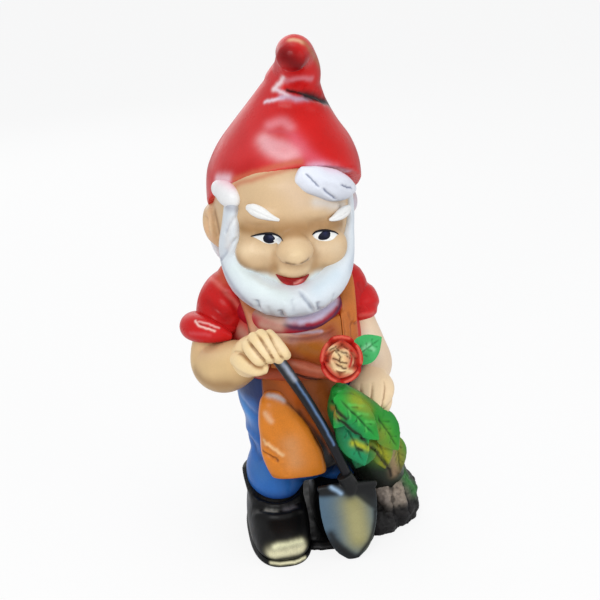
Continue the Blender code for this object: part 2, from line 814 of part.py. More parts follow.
FINGER_BEND = ((-0.2, 0.2, 0.45), (-0.1, -0.9, 0.52), (0.2, -1.25, 0.50), (0.3, -0.85, 0.36))
FINGER_PLACES = (
    (-1.4, ((0.7, 0.0), (0.4, 0.3), (-0.2, 0.6), (-0.7, 0.7))),
    (-0.8, ((1.5, 0.0), (1.0, 0.3), (0.0, 0.8), (-0.7, 0.8))),
    (-0.2, ((2.0, 0.0), (1.4, 0.4), (0.3, 0.9), (-0.5, 0.9))),
    (0.5, ((2.0, 0.0), (1.5, 0.4), (0.6, 0.7), (-0.2, 0.7))),
)
THUMB_BEND = ((-1.9, 0.2, 0.2, 0.5), (-1.5, -0.6, -0.4, 0.62), (-0.7, -0.8, -0.85, 0.5))


def fist_forms():
    """A palm on the end of the shaft, four fingers bent over its front side by side, and a thumb below."""
    reach = (GRIP - WRIST_RIGHT).normalized()
    half = FIST_WIDTH / 2
    palm = Tube(
        [
            row(WRIST_RIGHT.lerp(GRIP, 0.05), half * 0.66, half * 0.62),
            row(WRIST_RIGHT.lerp(GRIP, 0.50) + Z * half * 0.2, half * 0.84, half * 0.74),
            row(WRIST_RIGHT.lerp(GRIP, 0.90) + Z * half * 0.3, half * 0.78, half * 0.68),
            round_row(GRIP + reach * half * 0.25 + Z * half * 0.3, half * 0.46),
        ],
        side=Z,
        sides=14,
    )
    forms = [palm]
    for across, path in FINGER_PLACES:
        rows = []
        for (shift, back, size), (up, onward) in zip(FINGER_BEND, path):
            at = GRIP + Vector((across + shift + onward, back, up)) * FINGER_WIDTH
            rows.append(round_row(at, FINGER_WIDTH * size))
        forms.append(Tube(rows, sides=8))
    thumb = [round_row(GRIP + Vector(at) * FINGER_WIDTH, FINGER_WIDTH * size) for *at, size in THUMB_BEND]
    forms.append(Tube(thumb, side=Z, sides=8))
    return forms


def open_hand_forms():
    """The left hand, hanging over the bush with its fingers down."""
    down = Vector((-0.42, -0.58, -0.70)).normalized()
    back = [
        row(ELBOW_LEFT.lerp(HAND_LEFT_AT, 0.46) - Z * HALF_ARM * 0.26, HALF_ARM * 0.56, HALF_ARM * 0.50),
        row(ELBOW_LEFT.lerp(HAND_LEFT_AT, 0.74) - Z * HALF_ARM * 0.21, HALF_ARM * 0.90, HALF_ARM * 0.62),
        row(HAND_LEFT_AT, HALF_ARM * 0.98, HALF_ARM * 0.58),
        row(HAND_LEFT_AT + down * HALF_ARM * 0.58, HALF_ARM * 0.78, HALF_ARM * 0.40),
    ]
    forms = [Tube(back, sides=12)]
    onward = down * FINGER_WIDTH
    for k in range(4):
        root = HAND_LEFT_AT + X * (k - 1.5) * FINGER_WIDTH * 0.78 - onward * 0.35
        rows = [
            round_row(root, FINGER_WIDTH * 0.42),
            round_row(root + onward * 1.13 - Y * FINGER_WIDTH * 0.17, FINGER_WIDTH * 0.48),
            round_row(root + onward * 2.26, FINGER_WIDTH * 0.26),
        ]
        forms.append(Tube(rows, sides=7))
    return forms


def wrist_peg_form(arm, way):
    """A peg on the end of a forearm, which the hand is pushed over."""
    end = Vector(arm.rows[-1][:3])
    half = WRIST_PEG_DIAMETER / 2
    rows = [round_row(end + way * reach, half) for reach in (-WRIST_PEG_LENGTH, WRIST_PEG_LENGTH)]
    return Tube(rows, sides=8)


FIST = fist_forms()
OPEN_HAND = open_hand_forms()
WRIST_PEG_RIGHT = wrist_peg_form(FOREARM_RIGHT, (GRIP - WRIST_RIGHT).normalized())
WRIST_PEG_LEFT = wrist_peg_form(FOREARM_LEFT, (HAND_LEFT_AT - ELBOW_LEFT).normalized())

# Forms of the apron

SKIRT_BOTTOM = TIE_Z - SKIRT_LENGTH
SKIRT_PROFILE = (
    (0.00, 0.40, 0.38, 0.254),
    (0.28, 0.42, 0.40, 0.254),
    (0.56, 0.43, 0.40, 0.246),
    (0.82, 0.42, 0.39, 0.186),
    (1.00, 0.42, 0.36, 0.170),
)
SKIRT = Tube(
    [
        (
            BODY_X - 0.07 * CHEST_WIDTH,
            -forward * CHEST_DEPTH,
            SKIRT_BOTTOM + share * SKIRT_LENGTH,
            CHEST_WIDTH * wide,
            CHEST_DEPTH * deep,
        )
        for share, wide, deep, forward in SKIRT_PROFILE
    ],
    level=True,
    sides=20,
)
POCKET_PROFILE = (
    (-0.30, 0.54, 0.20, 0.07, 0.7),
    (-0.26, 0.575, 0.48, 0.18, 1.3),
    (-0.19, 0.56, 0.73, 0.24, 1.4),
    (-0.12, 0.54, 0.99, 0.27, 1.0),
)
POCKET = Tube(
    [
        (
            BODY_X + across * CHEST_WIDTH,
            -forward * CHEST_DEPTH,
            TIE_Z - drop * SKIRT_LENGTH,
            CHEST_WIDTH * wide,
            POCKET_BULGE * deep,
        )
        for across, forward, drop, wide, deep in POCKET_PROFILE
    ],
)
ABOVE_TIE_Z = TIE_Z + TIE_WIDTH / 2 + FIT_GAP
BIB_BLOCK = Block(
    (BODY_X - BIB_WIDTH / 2, -CHEST_DEPTH, ABOVE_TIE_Z),
    (BODY_X + BIB_WIDTH / 2, -CHEST_DEPTH * 0.17, NECK_Z - SHIRT_HEIGHT * 0.138),
)
SKIRT_BLOCK = Block(
    (BODY_X - CHEST_WIDTH * 0.44, -CHEST_DEPTH, 0),
    (BODY_X + CHEST_WIDTH * 0.34, -CHEST_DEPTH * 0.153, NECK_Z),
)


def tie_form():
    """The apron's string, flat on the shirt all round the waist."""
    rows = []
    for k in range(16):
        turn = 2 * math.pi * k / 16
        at = Vector((BODY_X - 0.022 * CHEST_WIDTH, -0.031 * CHEST_DEPTH, TIE_Z))
        at.x += CHEST_WIDTH * 0.51 * math.sin(turn)
        at.y -= CHEST_DEPTH * 0.51 * math.cos(turn)
        rows.append(row(at, TIE_WIDTH / 2, CLOTH_THICKNESS))
    return Tube(rows, side=Z, loop=True, sides=8)


TIE = tie_form()


def strap_block(hand):
    inner = BODY_X + hand * (BIB_WIDTH / 2 + FIT_GAP)
    outer = inner + hand * STRAP_WIDTH
    low, high = sorted((inner, outer))
    return Block((low, -CHEST_DEPTH, ABOVE_TIE_Z), (high, -CHEST_DEPTH * 0.10, NECK_Z - SHIRT_HEIGHT * 0.074))


BOW_AT = Vector((BODY_X, CHEST_DEPTH * 0.49, TIE_Z))


def bow_forms():
    """A knot with two loops and two tails, behind the waist."""
    knot_profile = ((-0.6, 0.33), (0.0, 0.6), (0.6, 0.33))
    loop_profile = (
        (0.0, 0.0, 0.33, 0.25),
        (1.2, 0.0, 0.79, 0.29),
        (2.15, -0.17, 0.67, 0.29),
        (2.6, -0.33, 0.25, 0.20),
    )
    tail_profile = ((0.0, 0.0, 0.0, 0.33), (0.67, 0.08, -1.5, 0.46), (1.08, 0.17, -3.0, 0.54))
    knot = [round_row(BOW_AT + Z * TIE_WIDTH * up, TIE_WIDTH * size) for up, size in knot_profile]
    forms = [Tube(knot, sides=10)]
    for hand in (-1, 1):
        loop = [
            row(BOW_AT + Vector((hand * out, back, 0)) * TIE_WIDTH, TIE_WIDTH * high, TIE_WIDTH * thick)
            for out, back, high, thick in loop_profile
        ]
        tail = [
            row(BOW_AT + Vector((hand * out, back, up)) * TIE_WIDTH, TIE_WIDTH * wide, TIE_WIDTH * 0.22)
            for out, back, up, wide in tail_profile
        ]
        forms += [Tube(loop, side=Z, sides=10), Tube(tail, sides=10)]
    return forms


BOW = bow_forms()

# Forms of the rose bush

BUSH_FOOT = MOUND_CENTRE + Vector((-0.003, -0.007, MOUND_HEIGHT * 0.80))
BUSH_LEAN = Vector((-0.38, -0.36, 1.0))
BUSH_TOP = BUSH_FOOT + BUSH_LEAN * BUSH_HEIGHT
BUSH_PROFILE = (
    (-0.06, 0.62, 0.54),
    (0.28, 0.92, 0.58),
    (0.55, 1.0, 0.54),
    (0.82, 0.85, 0.42),
    (1.0, 0.31, 0.23),
)
BUSH = Tube(
    [
        row(BUSH_FOOT.lerp(BUSH_TOP, share), BUSH_WIDTH / 2 * wide, BUSH_WIDTH / 2 * deep)
        for share, wide, deep in BUSH_PROFILE
    ],
)
LEAF_PLACES = (
    (0.92, -110, 0.94),
    (0.86, -40, 1.00),
    (0.72, -85, 0.94),
    (0.64, -20, 1.06),
    (0.58, -130, 0.94),
    (0.46, -65, 1.00),
    (0.40, 30, 1.00),
    (0.30, -110, 0.89),
    (0.24, -30, 0.89),
    (0.62, 60, 0.94),
)


def leaf_form(along, heading, size):
    """A leaf with a raised middle, at this share of the bush's height and this heading seen from above, whose
    tip hangs clear of the bush."""
    turn = math.radians(heading)
    out = Vector((math.cos(turn), math.sin(turn), 0))
    root = BUSH_FOOT.lerp(BUSH_TOP, along) + Vector((out.x * 0.33, out.y * 0.19, 0.17)) * LEAF_LENGTH
    length = LEAF_LENGTH * size
    way = (out * 0.62 - Z * 0.78).normalized()
    face = (out * 0.78 + Z * 0.62).normalized()
    wide = length * 0.36
    rows = [
        row(root, wide * 0.35, LEAF_THICKNESS * 0.5),
        row(root + (way * 0.35 + face * 0.11) * length, wide, LEAF_THICKNESS * 0.6),
        row(root + (way * 0.75 + face * 0.08) * length, wide * 0.7, LEAF_THICKNESS * 0.5),
        row(root + way * length, wide * 0.12, LEAF_THICKNESS * 0.2),
    ]
    return Tube(rows, side=way.cross(face), sides=6)


LEAVES = [leaf_form(*place) for place in LEAF_PLACES]

HALF_ROSE, HALF_STEM = ROSE_DIAMETER / 2, STEM_DIAMETER / 2
ROSE_FACE = Vector((-0.10, -0.93, 0.36)).normalized()
ROSE_AT = BUSH_TOP + Vector((0.09, -0.46, 1.26)) * HALF_ROSE
STEM_BEND = ROSE_AT - (ROSE_FACE * 0.69 + Z * 0.34) * HALF_ROSE
STEM = Tube(
    [
        round_row(BUSH_FOOT.lerp(BUSH_TOP, 0.94), HALF_STEM),
        round_row(STEM_BEND, HALF_STEM),
        round_row(ROSE_AT - ROSE_FACE * HALF_ROSE * 0.23, HALF_STEM * 1.2),
    ],
    sides=8,
)


def rose_forms():
    """A cup, five petals that overlap round its rim, and a bud in the middle."""
    half = HALF_ROSE
    side = ROSE_FACE.cross(Z).normalized()
    up = side.cross(ROSE_FACE)
    cup_profile = ((-0.34, 0.40), (0.0, 0.86), (0.34, 0.94), (0.57, 0.60))
    bud_profile = ((0.23, 0.50), (0.74, 0.46), (0.91, 0.20))
    petal_profile = ((0.58, -0.6, 0.23, 0.2), (0.82, 0.0, 0.46, 0.34), (0.68, 0.6, 0.40, 0.2))
    cup = [round_row(ROSE_AT + ROSE_FACE * half * ahead, half * size) for ahead, size in cup_profile]
    bud = [round_row(ROSE_AT + ROSE_FACE * half * ahead, half * size) for ahead, size in bud_profile]
    forms = [Tube(cup, side=side, sides=14)]
    for k in range(5):
        turn = 2 * math.pi * k / 5
        out = side * math.cos(turn) + up * math.sin(turn)
        tangent = out.cross(ROSE_FACE)
        rows = []
        for off, along, ahead, high in petal_profile:
            at = ROSE_AT + (out * off + tangent * along + ROSE_FACE * ahead) * half
            rows.append(row(at, half * high, PETAL_THICKNESS))
        forms.append(Tube(rows, side=ROSE_FACE, sides=8))
    forms.append(Tube(bud, side=side, sides=10))
    return forms


ROSE = rose_forms()
ROSE_LEAF_ROOT = STEM_BEND - Z * HALF_STEM * 0.36
ROSE_LEAF_WAY = Vector((1, 0.21, 0.18)) * ROSE_LEAF_LENGTH
ROSE_LEAF_PROFILE = ((0.0, 0.08, 0.063), (0.42, 0.24, 0.084), (0.74, 0.28, 0.08), (1.0, 0.08, 0.042))
ROSE_LEAF = Tube(
    [
        row(ROSE_LEAF_ROOT + ROSE_LEAF_WAY * share, ROSE_LEAF_LENGTH * high, ROSE_LEAF_LENGTH * thick)
        for share, high, thick in ROSE_LEAF_PROFILE
    ],
    side=Z,
    sides=10,
)


def clear_scene():
    for old in list(bpy.data.objects):
        bpy.data.objects.remove(old)


def build():
    clear_scene()
    red = paint("red_gloss", (0.60, 0.015, 0.015), 0.28)
    flesh = paint("flesh_satin", (0.74, 0.52, 0.34), 0.42)
    white = paint("white_satin", (0.82, 0.84, 0.84), 0.40)
    black = paint("black_gloss", (0.012, 0.012, 0.012), 0.22)
    blue = paint("blue_gloss", (0.04, 0.17, 0.50), 0.30)
    orange = paint("orange_gloss", (0.66, 0.22, 0.03), 0.30)
    wine = paint("wine_gloss", (0.30, 0.02, 0.05), 0.32)
    steel = paint("steel_paint", (0.26, 0.36, 0.46), 0.34, 0.1)
    earth = paint("earth_paint", (0.05, 0.045, 0.04), 0.45)
    green = paint("leaf_gloss", (0.05, 0.42, 0.07), 0.30)

    # Feet and ground
    for name, sole, boot, leg in (
        ("right", SOLE_RIGHT, BOOT_RIGHT, LEG_RIGHT),
        ("left", SOLE_LEFT, BOOT_LEFT, LEG_LEFT),
    ):
        piece(f"boot_sole_{name}", [sole], black)
        piece(f"boot_{name}", [boot], black, cut_by=[leg])
    piece("earth_mound", [MOUND], earth, cut_by=[*BOOTS, BLADE])
    piece("ground_plinth", [PLINTH], black, cut_by=[*BOOTS, MOUND, BLADE])

    # Body
    piece("trousers", [HIPS, LEG_RIGHT, LEG_LEFT, WAIST_PLUG], blue)
    piece("shirt_body", [SHIRT], red, cut_by=[WAIST_PLUG, SPIGOT, PEG_RIGHT, PEG_LEFT])
    piece("shirt_collar", [COLLAR], wine, cut_by=[SHIRT, HEAD])

    # Head
    piece("head", [HEAD, NOSE, EAR_RIGHT, EAR_LEFT, *FACE, SPIGOT], flesh)
    piece("beard", [BEARD], white, cut_by=[HEAD, NOSE, EAR_RIGHT, EAR_LEFT, *FACE, SHIRT, COLLAR])
    piece("cap", [CAP], red, cut_by=[HEAD, EAR_RIGHT, EAR_LEFT])
    for name, tuft in (("right", TUFT_RIGHT), ("left", TUFT_LEFT)):
        piece(f"hair_tuft_{name}", [tuft], white, cut_by=[HEAD, CAP, EAR_RIGHT, EAR_LEFT, BEARD])
    piece(
        "hair_back",
        [BACK_HAIR],
        white,
        within=[BEHIND_EARS],
        cut_by=[HEAD, CAP, EAR_RIGHT, EAR_LEFT, BEARD, COLLAR, SHIRT],
    )
    for name, hand in (("right", -1), ("left", 1)):
        piece(f"eyebrow_{name}", [brow_form(hand)], white, cut_by=[HEAD, TUFT_LEFT, TUFT_RIGHT])

    # Arms
    body = [SHIRT, HIPS, LEG_RIGHT, LEG_LEFT]
    piece("sleeve_right", [SLEEVE_RIGHT], red, cut_by=[SHIRT, HEAD, BEARD, COLLAR, TIE], pegs=[PEG_RIGHT])
    piece("sleeve_left", [SLEEVE_LEFT], red, cut_by=[SHIRT, HEAD, BEARD, COLLAR, TIE], pegs=[PEG_LEFT])
    piece("forearm_right", [FOREARM_RIGHT], flesh, cut_by=[SLEEVE_RIGHT, SHIRT, TIE], pegs=[WRIST_PEG_RIGHT])
    piece("forearm_left", [FOREARM_LEFT], flesh, cut_by=[SLEEVE_LEFT, SHIRT, TIE], pegs=[WRIST_PEG_LEFT])
    piece("cuff_right", [CUFF_RIGHT], red, cut_by=[SLEEVE_RIGHT, FOREARM_RIGHT, SHIRT, TIE])
    piece("cuff_left", [CUFF_LEFT], red, cut_by=[SLEEVE_LEFT, FOREARM_LEFT, SHIRT, TIE])
    piece("hand_right", FIST, flesh, cut_by=[FOREARM_RIGHT, WRIST_PEG_RIGHT, SHAFT])
    piece("hand_left", OPEN_HAND, flesh, cut_by=[FOREARM_LEFT, WRIST_PEG_LEFT, SKIRT, *body])

    # Apron
    apron_grow = CLOTH_THICKNESS + FIT_GAP
    piece(
        "apron_bib",
        [SHIRT],
        orange,
        within=[BIB_BLOCK],
        cut_by=[SHIRT, COLLAR, BEARD, *FIST],
        grow=apron_grow,
    )
    piece("apron_tie", [TIE], orange, cut_by=[SHIRT])
    for name, hand in (("right", -1), ("left", 1)):
        piece(
            f"apron_strap_{name}",
            [SHIRT],
            orange,
            within=[strap_block(hand)],
            cut_by=[SHIRT, COLLAR, BEARD, SLEEVE_RIGHT, SLEEVE_LEFT, CUFF_LEFT, FOREARM_RIGHT, *FIST],
            grow=apron_grow,
        )
    piece("apron_bow", BOW, orange, cut_by=[TIE, SHIRT, HIPS])
    piece(
        "apron_skirt",
        [SKIRT],
        orange,
        within=[SKIRT_BLOCK],
        cut_by=[TIE, *body, SHAFT, BOOT_RIGHT, BOOT_LEFT, FOREARM_RIGHT],
    )
    piece("apron_pocket", [POCKET], orange, cut_by=[SKIRT, *body, SHAFT])

    # Spade
    piece("spade_blade", [BLADE, TREAD, SOCKET], steel, cut_by=[SHAFT])
    piece("spade_shaft", [SHAFT], steel)

    # Rose bush
    piece(
        "rose_bush",
        [BUSH, *LEAVES],
        green,
        cut_by=[MOUND, SKIRT, POCKET, SHAFT, BOOT_LEFT, *OPEN_HAND, FOREARM_LEFT, STEM, TIE, *body],
    )
    piece("rose_stem", [STEM], green)
    piece("rose_flower", ROSE, red, cut_by=[STEM])
    piece("rose_leaf", [ROSE_LEAF], green, cut_by=[STEM, *ROSE, FOREARM_LEFT])


build()
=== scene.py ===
import math

import bmesh
import bpy
import numpy as np
from mathutils import Matrix, Vector, kdtree, noise
from mathutils.bvhtree import BVHTree


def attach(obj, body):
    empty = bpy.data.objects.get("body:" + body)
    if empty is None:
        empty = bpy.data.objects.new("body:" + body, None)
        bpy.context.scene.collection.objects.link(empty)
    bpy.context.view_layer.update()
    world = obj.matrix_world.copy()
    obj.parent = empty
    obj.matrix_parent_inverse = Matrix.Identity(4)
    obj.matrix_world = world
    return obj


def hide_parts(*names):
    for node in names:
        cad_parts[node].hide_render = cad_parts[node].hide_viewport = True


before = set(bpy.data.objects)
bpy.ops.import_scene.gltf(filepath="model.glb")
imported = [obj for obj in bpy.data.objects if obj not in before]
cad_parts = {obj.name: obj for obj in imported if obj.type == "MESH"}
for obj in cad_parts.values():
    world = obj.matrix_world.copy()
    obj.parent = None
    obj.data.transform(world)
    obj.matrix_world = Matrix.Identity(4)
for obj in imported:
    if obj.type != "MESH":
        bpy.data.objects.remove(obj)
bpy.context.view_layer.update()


# Ground piece: the flat lump of black moulded plastic between the boots that holds them together.
# It is sprayed black with the boots. All sizes below are mm, x to the viewer's right, y away from them, z up.
MM = 0.001


def flow(points, steps, loop=False):
    """Rows along a smooth curve through these rows."""
    points = np.array(points, float)
    if loop:
        padded = np.vstack([points[-1], points, points[0], points[1]])
    else:
        padded = np.vstack([2 * points[0] - points[1], points, 2 * points[-1] - points[-2]])
    t = np.linspace(0, 1, steps, endpoint=False)[:, None]
    spans = []
    for k in range(len(padded) - 3):
        a, b, c, d = padded[k : k + 4]
        spans.append(b + 0.5 * t * (c - a + t * (2 * a - 5 * b + 4 * c - d + t * (3 * b - a - 3 * c + d))))
    if not loop:
        spans.append(points[-1:])
    return np.vstack(spans)


def tint(colour):
    """A colour of the paint chart, red, green and blue up to 255, as the light it returns."""
    share = np.array(colour, float) / 255
    return np.where(share <= 0.04045, share / 12.92, ((share + 0.055) / 1.055) ** 2.4)


class Moulding:
    """One moulded piece in mm: forms melted into one skin, which is then tooled and sprayed."""

    def __init__(self, name):
        self.name = name
        self.bm = bmesh.new()

    def loft(self, rows, side=(1, 0, 0), level=False, loop=False, sides=40, steps=6, square=2, dome=0.6):
        """A closed form over rings. A row is (x, y, z, half size along side, half size across it)."""
        rows = flow([(*row, row[3]) if len(row) == 4 else row for row in rows], steps, loop)
        if not loop:
            rows = self.rounded(rows, *(dome if isinstance(dome, tuple) else (dome, dome)))
        centres = rows[:, :3]
        ahead = np.roll(centres, -1, 0) - np.roll(centres, 1, 0) if loop else np.gradient(centres, axis=0)
        rings = []
        for k, (centre, run, half) in enumerate(zip(centres, ahead, rows[:, 3:])):
            axis = Vector((0, 0, 1)) if level else Vector(run).normalized()
            across = (Vector(side) - axis * axis.dot(Vector(side))).normalized()
            turn = Matrix((across, axis.cross(across), axis)).transposed().to_4x4()
            is_end = not loop and k in (0, len(rows) - 1)
            ring = bmesh.ops.create_circle(self.bm, cap_ends=is_end, segments=sides, radius=1)["verts"]
            for vert in ring:
                vert.co /= (abs(vert.co.x) ** square + abs(vert.co.y) ** square) ** (1 / square)
            size = Matrix.Diagonal((half[0], half[1], 1, 1))
            bmesh.ops.transform(self.bm, matrix=Matrix.Translation(centre) @ turn @ size, verts=ring)
            rings.append(ring)
        self.bridge(rings + rings[:1] if loop else rings)

    def bridge(self, rings):
        """Walls from each ring of points to the next."""
        rims = []
        for ring in rings:
            found = set(ring)
            rims.append([e for v in ring for e in v.link_edges if found >= set(e.verts) and v == e.verts[0]])
        for first, second in zip(rims, rims[1:]):
            bmesh.ops.bridge_loops(self.bm, edges=first + second)

    @staticmethod
    def rounded(rows, first_dome, last_dome):
        """The rows with three more at an end that has a dome, to close it."""
        parts = [rows]
        if first_dome:
            parts.insert(0, Moulding.dome_rows(rows[0], rows[1], first_dome)[::-1])
        if last_dome:
            parts.append(Moulding.dome_rows(rows[-1], rows[-2], last_dome))
        return np.vstack(parts)

    @staticmethod
    def dome_rows(last, before, dome):
        """Three rings that shrink to a point beyond the last one."""
        run = last[:3] - before[:3]
        out = run / max(np.linalg.norm(run), 1e-6) * min(last[3:]) * dome
        return [[*(last[:3] + out * math.sin(a)), *(last[3:] * math.cos(a))] for a in (0.5, 1.0, 1.45)]

    def ball(self, at, halves, turn=Matrix.Identity(3)):
        """A ball with these half sizes, turned as given."""
        matrix = Matrix.Translation(at) @ turn.to_4x4() @ Matrix.Diagonal((*halves, 1))
        bmesh.ops.create_icosphere(self.bm, subdivisions=4, radius=1, matrix=matrix)

    def trim(self, at, outward):
        """Cuts away what lies beyond a plane and closes the cut."""
        geometry = [*self.bm.verts, *self.bm.edges, *self.bm.faces]
        bmesh.ops.bisect_plane(self.bm, geom=geometry, plane_co=at, plane_no=outward, clear_outer=True)
        bmesh.ops.holes_fill(self.bm, edges=[e for e in self.bm.edges if e.is_boundary], sides=0)

    def fuse(self, voxel, passes=5):
        """Melts the forms together and eases the skin."""
        bmesh.ops.triangulate(self.bm, faces=[f for f in self.bm.faces if len(f.verts) > 4])
        bmesh.ops.recalc_face_normals(self.bm, faces=self.bm.faces)
        rough = bpy.data.meshes.new(self.name)
        self.bm.to_mesh(rough)
        self.bm.free()
        body = bpy.data.objects.new(self.name, rough)
        bpy.context.collection.objects.link(body)
        melt = body.modifiers.new("melt", "REMESH")
        melt.mode = "VOXEL"
        melt.voxel_size = voxel
        ease = body.modifiers.new("ease", "SMOOTH")
        ease.iterations = passes
        self.mesh = bpy.data.meshes.new_from_object(body.evaluated_get(bpy.context.evaluated_depsgraph_get()))
        self.mesh.name = self.name
        bpy.data.objects.remove(body)
        bpy.data.meshes.remove(rough)
        count = len(self.mesh.vertices)
        self.co = np.empty(count * 3)
        self.mesh.vertices.foreach_get("co", self.co)
        self.co = self.co.reshape(-1, 3)
        self.edges = np.empty(len(self.mesh.edges) * 2, int)
        self.mesh.edges.foreach_get("vertices", self.edges)
        self.edges = self.edges.reshape(-1, 2)
        self.paint = np.ones((count, 4))
        self.settle()

    def settle(self):
        """Takes the tooled skin as the new one: its normals and its points are found again."""
        self.mesh.vertices.foreach_set("co", self.co.ravel())
        self.mesh.update()
        self.normal = np.empty(len(self.co) * 3)
        self.mesh.vertex_normals.foreach_get("vector", self.normal)
        self.normal = self.normal.reshape(-1, 3)
        self.points = kdtree.KDTree(len(self.co))
        for k, at in enumerate(self.co):
            self.points.insert(at, k)
        self.points.balance()

    def near(self, path, reach):
        """How far each point of the skin is from a path drawn on it, and how far along the path it lies."""
        path = flow(path, 5) if len(path) > 1 else np.array([path[0], path[0]], float)
        path = np.array([self.points.find(at)[0] for at in path])
        away = np.full(len(self.co), 1e6)
        along = np.zeros(len(self.co))
        close = ((self.co > path.min(0) - reach) & (self.co < path.max(0) + reach)).all(1)
        skin = self.co[close]
        best = np.full(len(skin), 1e6)
        share = np.zeros(len(skin))
        for k, (a, b) in enumerate(zip(path, path[1:])):
            run = b - a
            t = np.clip((skin - a) @ run / max(run @ run, 1e-9), 0, 1)
            gap = np.linalg.norm(skin - a - t[:, None] * run, axis=1)
            closer = gap < best
            best[closer] = gap[closer]
            share[closer] = (k + t[closer]) / (len(path) - 1)
        away[close] = best
        along[close] = share
        return away, along

    def press(self, path, width, depth, sharp=2.0):
        """A tool drawn along a path: a ridge if depth is above 0, else a groove, tapered at its ends."""
        away, along = self.near(path, 3 * width)
        shape = np.exp(-((away / width) ** sharp))
        if len(path) > 1:
            shape *= np.clip(np.sin(np.pi * along) * 1.6, 0, 1)
        self.co += self.normal * (depth * shape)[:, None]

    def roughen(self, size, depth):
        """Lumps of about this size all over the skin."""
        lumps = np.array([noise.noise(Vector(at) / size) for at in self.co])
        self.co += self.normal * (depth * lumps)[:, None]

    def mix(self, colour, share):
        """Turns each point's paint towards a colour by its share."""
        share = np.clip(share, 0, 1)[:, None]
        self.paint[:, :3] += (tint(colour) - self.paint[:, :3]) * share

    def coat(self, colour):
        """The first coat, all over."""
        self.mix(colour, np.ones(len(self.co)))

    def spray(self, colour, path, width, strength=1.0):
        """An airbrush stroke along a path, with a soft edge."""
        away = self.near(path, 2.6 * width)[0]
        self.mix(colour, strength * np.exp(-((away / width) ** 2)))

    def fade(self, colour, start, end, strength=1.0):
        """Colour that builds up from nothing at start to its full strength at end."""
        run = np.array(end, float) - start
        t = np.clip((self.co - start) @ run / (run @ run), 0, 1)
        self.mix(colour, strength * t * t * (3 - 2 * t))

    def facing_light_and_shade(self, colour, towards, strength=1.0, power=2.0):
        """Painted light and shade: colour on what faces one way, as light falls on it."""
        towards = np.array(towards, float)
        facing = np.clip(self.normal @ towards / np.linalg.norm(towards), 0, 1)
        self.mix(colour, strength * facing**power)

    def shade_and_wash_hollows(self, colour, strength=1.0, depth=0.5, passes=10):
        """Thin dark colour that stays in the hollows: painted shade in folds, creases and grooves, along with
        the dark wash the sprayed figure has there.
        """
        count = np.bincount(self.edges.ravel(), minlength=len(self.co))[:, None]
        eased = self.co.copy()
        for _ in range(passes):
            total = np.zeros_like(eased)
            np.add.at(total, self.edges[:, 0], eased[self.edges[:, 1]])
            np.add.at(total, self.edges[:, 1], eased[self.edges[:, 0]])
            eased = total / count
        hollow = ((eased - self.co) * self.normal).sum(1)
        self.mix(colour, strength * np.clip(hollow / depth, 0, 1))

    def finish(self, lacquer, slot, *nodes):
        """The finished piece, in metres, in the place of its CAD nodes."""
        self.co[:, 2] = np.maximum(self.co[:, 2], 0)
        self.mesh.vertices.foreach_set("co", (self.co * MM).ravel())
        coat = self.mesh.attributes.new("paint", "FLOAT_COLOR", "POINT")
        coat.data.foreach_set("color", self.paint.ravel())
        self.mesh.materials.clear()
        self.mesh.materials.append(lacquer)
        self.mesh.shade_smooth()
        self.mesh.update()
        piece = bpy.data.objects.new(f"painted_{self.name}", self.mesh)
        bpy.context.collection.objects.link(piece)
        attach(piece, "root")
        if nodes:
            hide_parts(*nodes)
        return piece


def sprayed_paint():
    """Node group for sprayed paint: uneven cover, fine speckle, darker hollows and lighter edges, and the
    skin's orange peel.
    """
    group = bpy.data.node_groups.new("Sprayed paint", "ShaderNodeTree")
    group.interface.new_socket("Paint", in_out="INPUT", socket_type="NodeSocketColor")
    for name, value in (("Cover", 0.10), ("Dull", 0.30)):
        group.interface.new_socket(name, in_out="INPUT", socket_type="NodeSocketFloat").default_value = value
    group.interface.new_socket("Color", in_out="OUTPUT", socket_type="NodeSocketColor")
    for name in ("Roughness", "Height"):
        group.interface.new_socket(name, in_out="OUTPUT", socket_type="NodeSocketFloat")
    nodes, links = group.nodes, group.links
    into, out = nodes.new("NodeGroupInput"), nodes.new("NodeGroupOutput")
    place = nodes.new("ShaderNodeTexCoord")

    def mottle(scale, detail, low, high):
        """Soft patches of this scale, spread from low to high."""
        patches, spread = nodes.new("ShaderNodeTexNoise"), nodes.new("ShaderNodeMapRange")
        patches.inputs["Scale"].default_value = scale
        patches.inputs["Detail"].default_value = detail
        links.new(place.outputs["Object"], patches.inputs["Vector"])
        links.new(patches.outputs["Fac"], spread.inputs["Value"])
        for name, value in (("From Min", 0.3), ("From Max", 0.7), ("To Min", low), ("To Max", high)):
            spread.inputs[name].default_value = value
        return spread.outputs["Result"]

    def sum_of(kind, first, second):
        node = nodes.new("ShaderNodeMath")
        node.operation = kind
        for socket, value in zip(node.inputs, (first, second)):
            if isinstance(value, float):
                socket.default_value = value
            else:
                links.new(value, socket)
        return node.outputs[0]

    cover = sum_of("ADD", mottle(38, 4, -1, 0.5), mottle(950, 1, -0.35, 0.35))
    # Darker in the hollows and lighter on the edges, by the shape of the surface.
    shape = nodes.new("ShaderNodeNewGeometry")
    hollows_and_edges = nodes.new("ShaderNodeMapRange")
    links.new(shape.outputs["Pointiness"], hollows_and_edges.inputs["Value"])
    for name, value in (("From Min", 0.44), ("From Max", 0.56), ("To Min", -1.2), ("To Max", 1.0)):
        hollows_and_edges.inputs[name].default_value = value
    cover = sum_of("ADD", cover, hollows_and_edges.outputs["Result"])
    cover = sum_of("ADD", sum_of("MULTIPLY", cover, into.outputs["Cover"]), 1.0)
    shade = nodes.new("ShaderNodeVectorMath")
    shade.operation = "SCALE"
    links.new(into.outputs["Paint"], shade.inputs[0])
    links.new(cover, shade.inputs["Scale"])
    links.new(shade.outputs[0], out.inputs["Color"])
    links.new(sum_of("ADD", into.outputs["Dull"], mottle(60, 3, -0.05, 0.09)), out.inputs["Roughness"])
    links.new(sum_of("ADD", mottle(170, 2, 0, 1), mottle(1400, 1, 0, 0.12)), out.inputs["Height"])
    return group


spray_group = sprayed_paint()


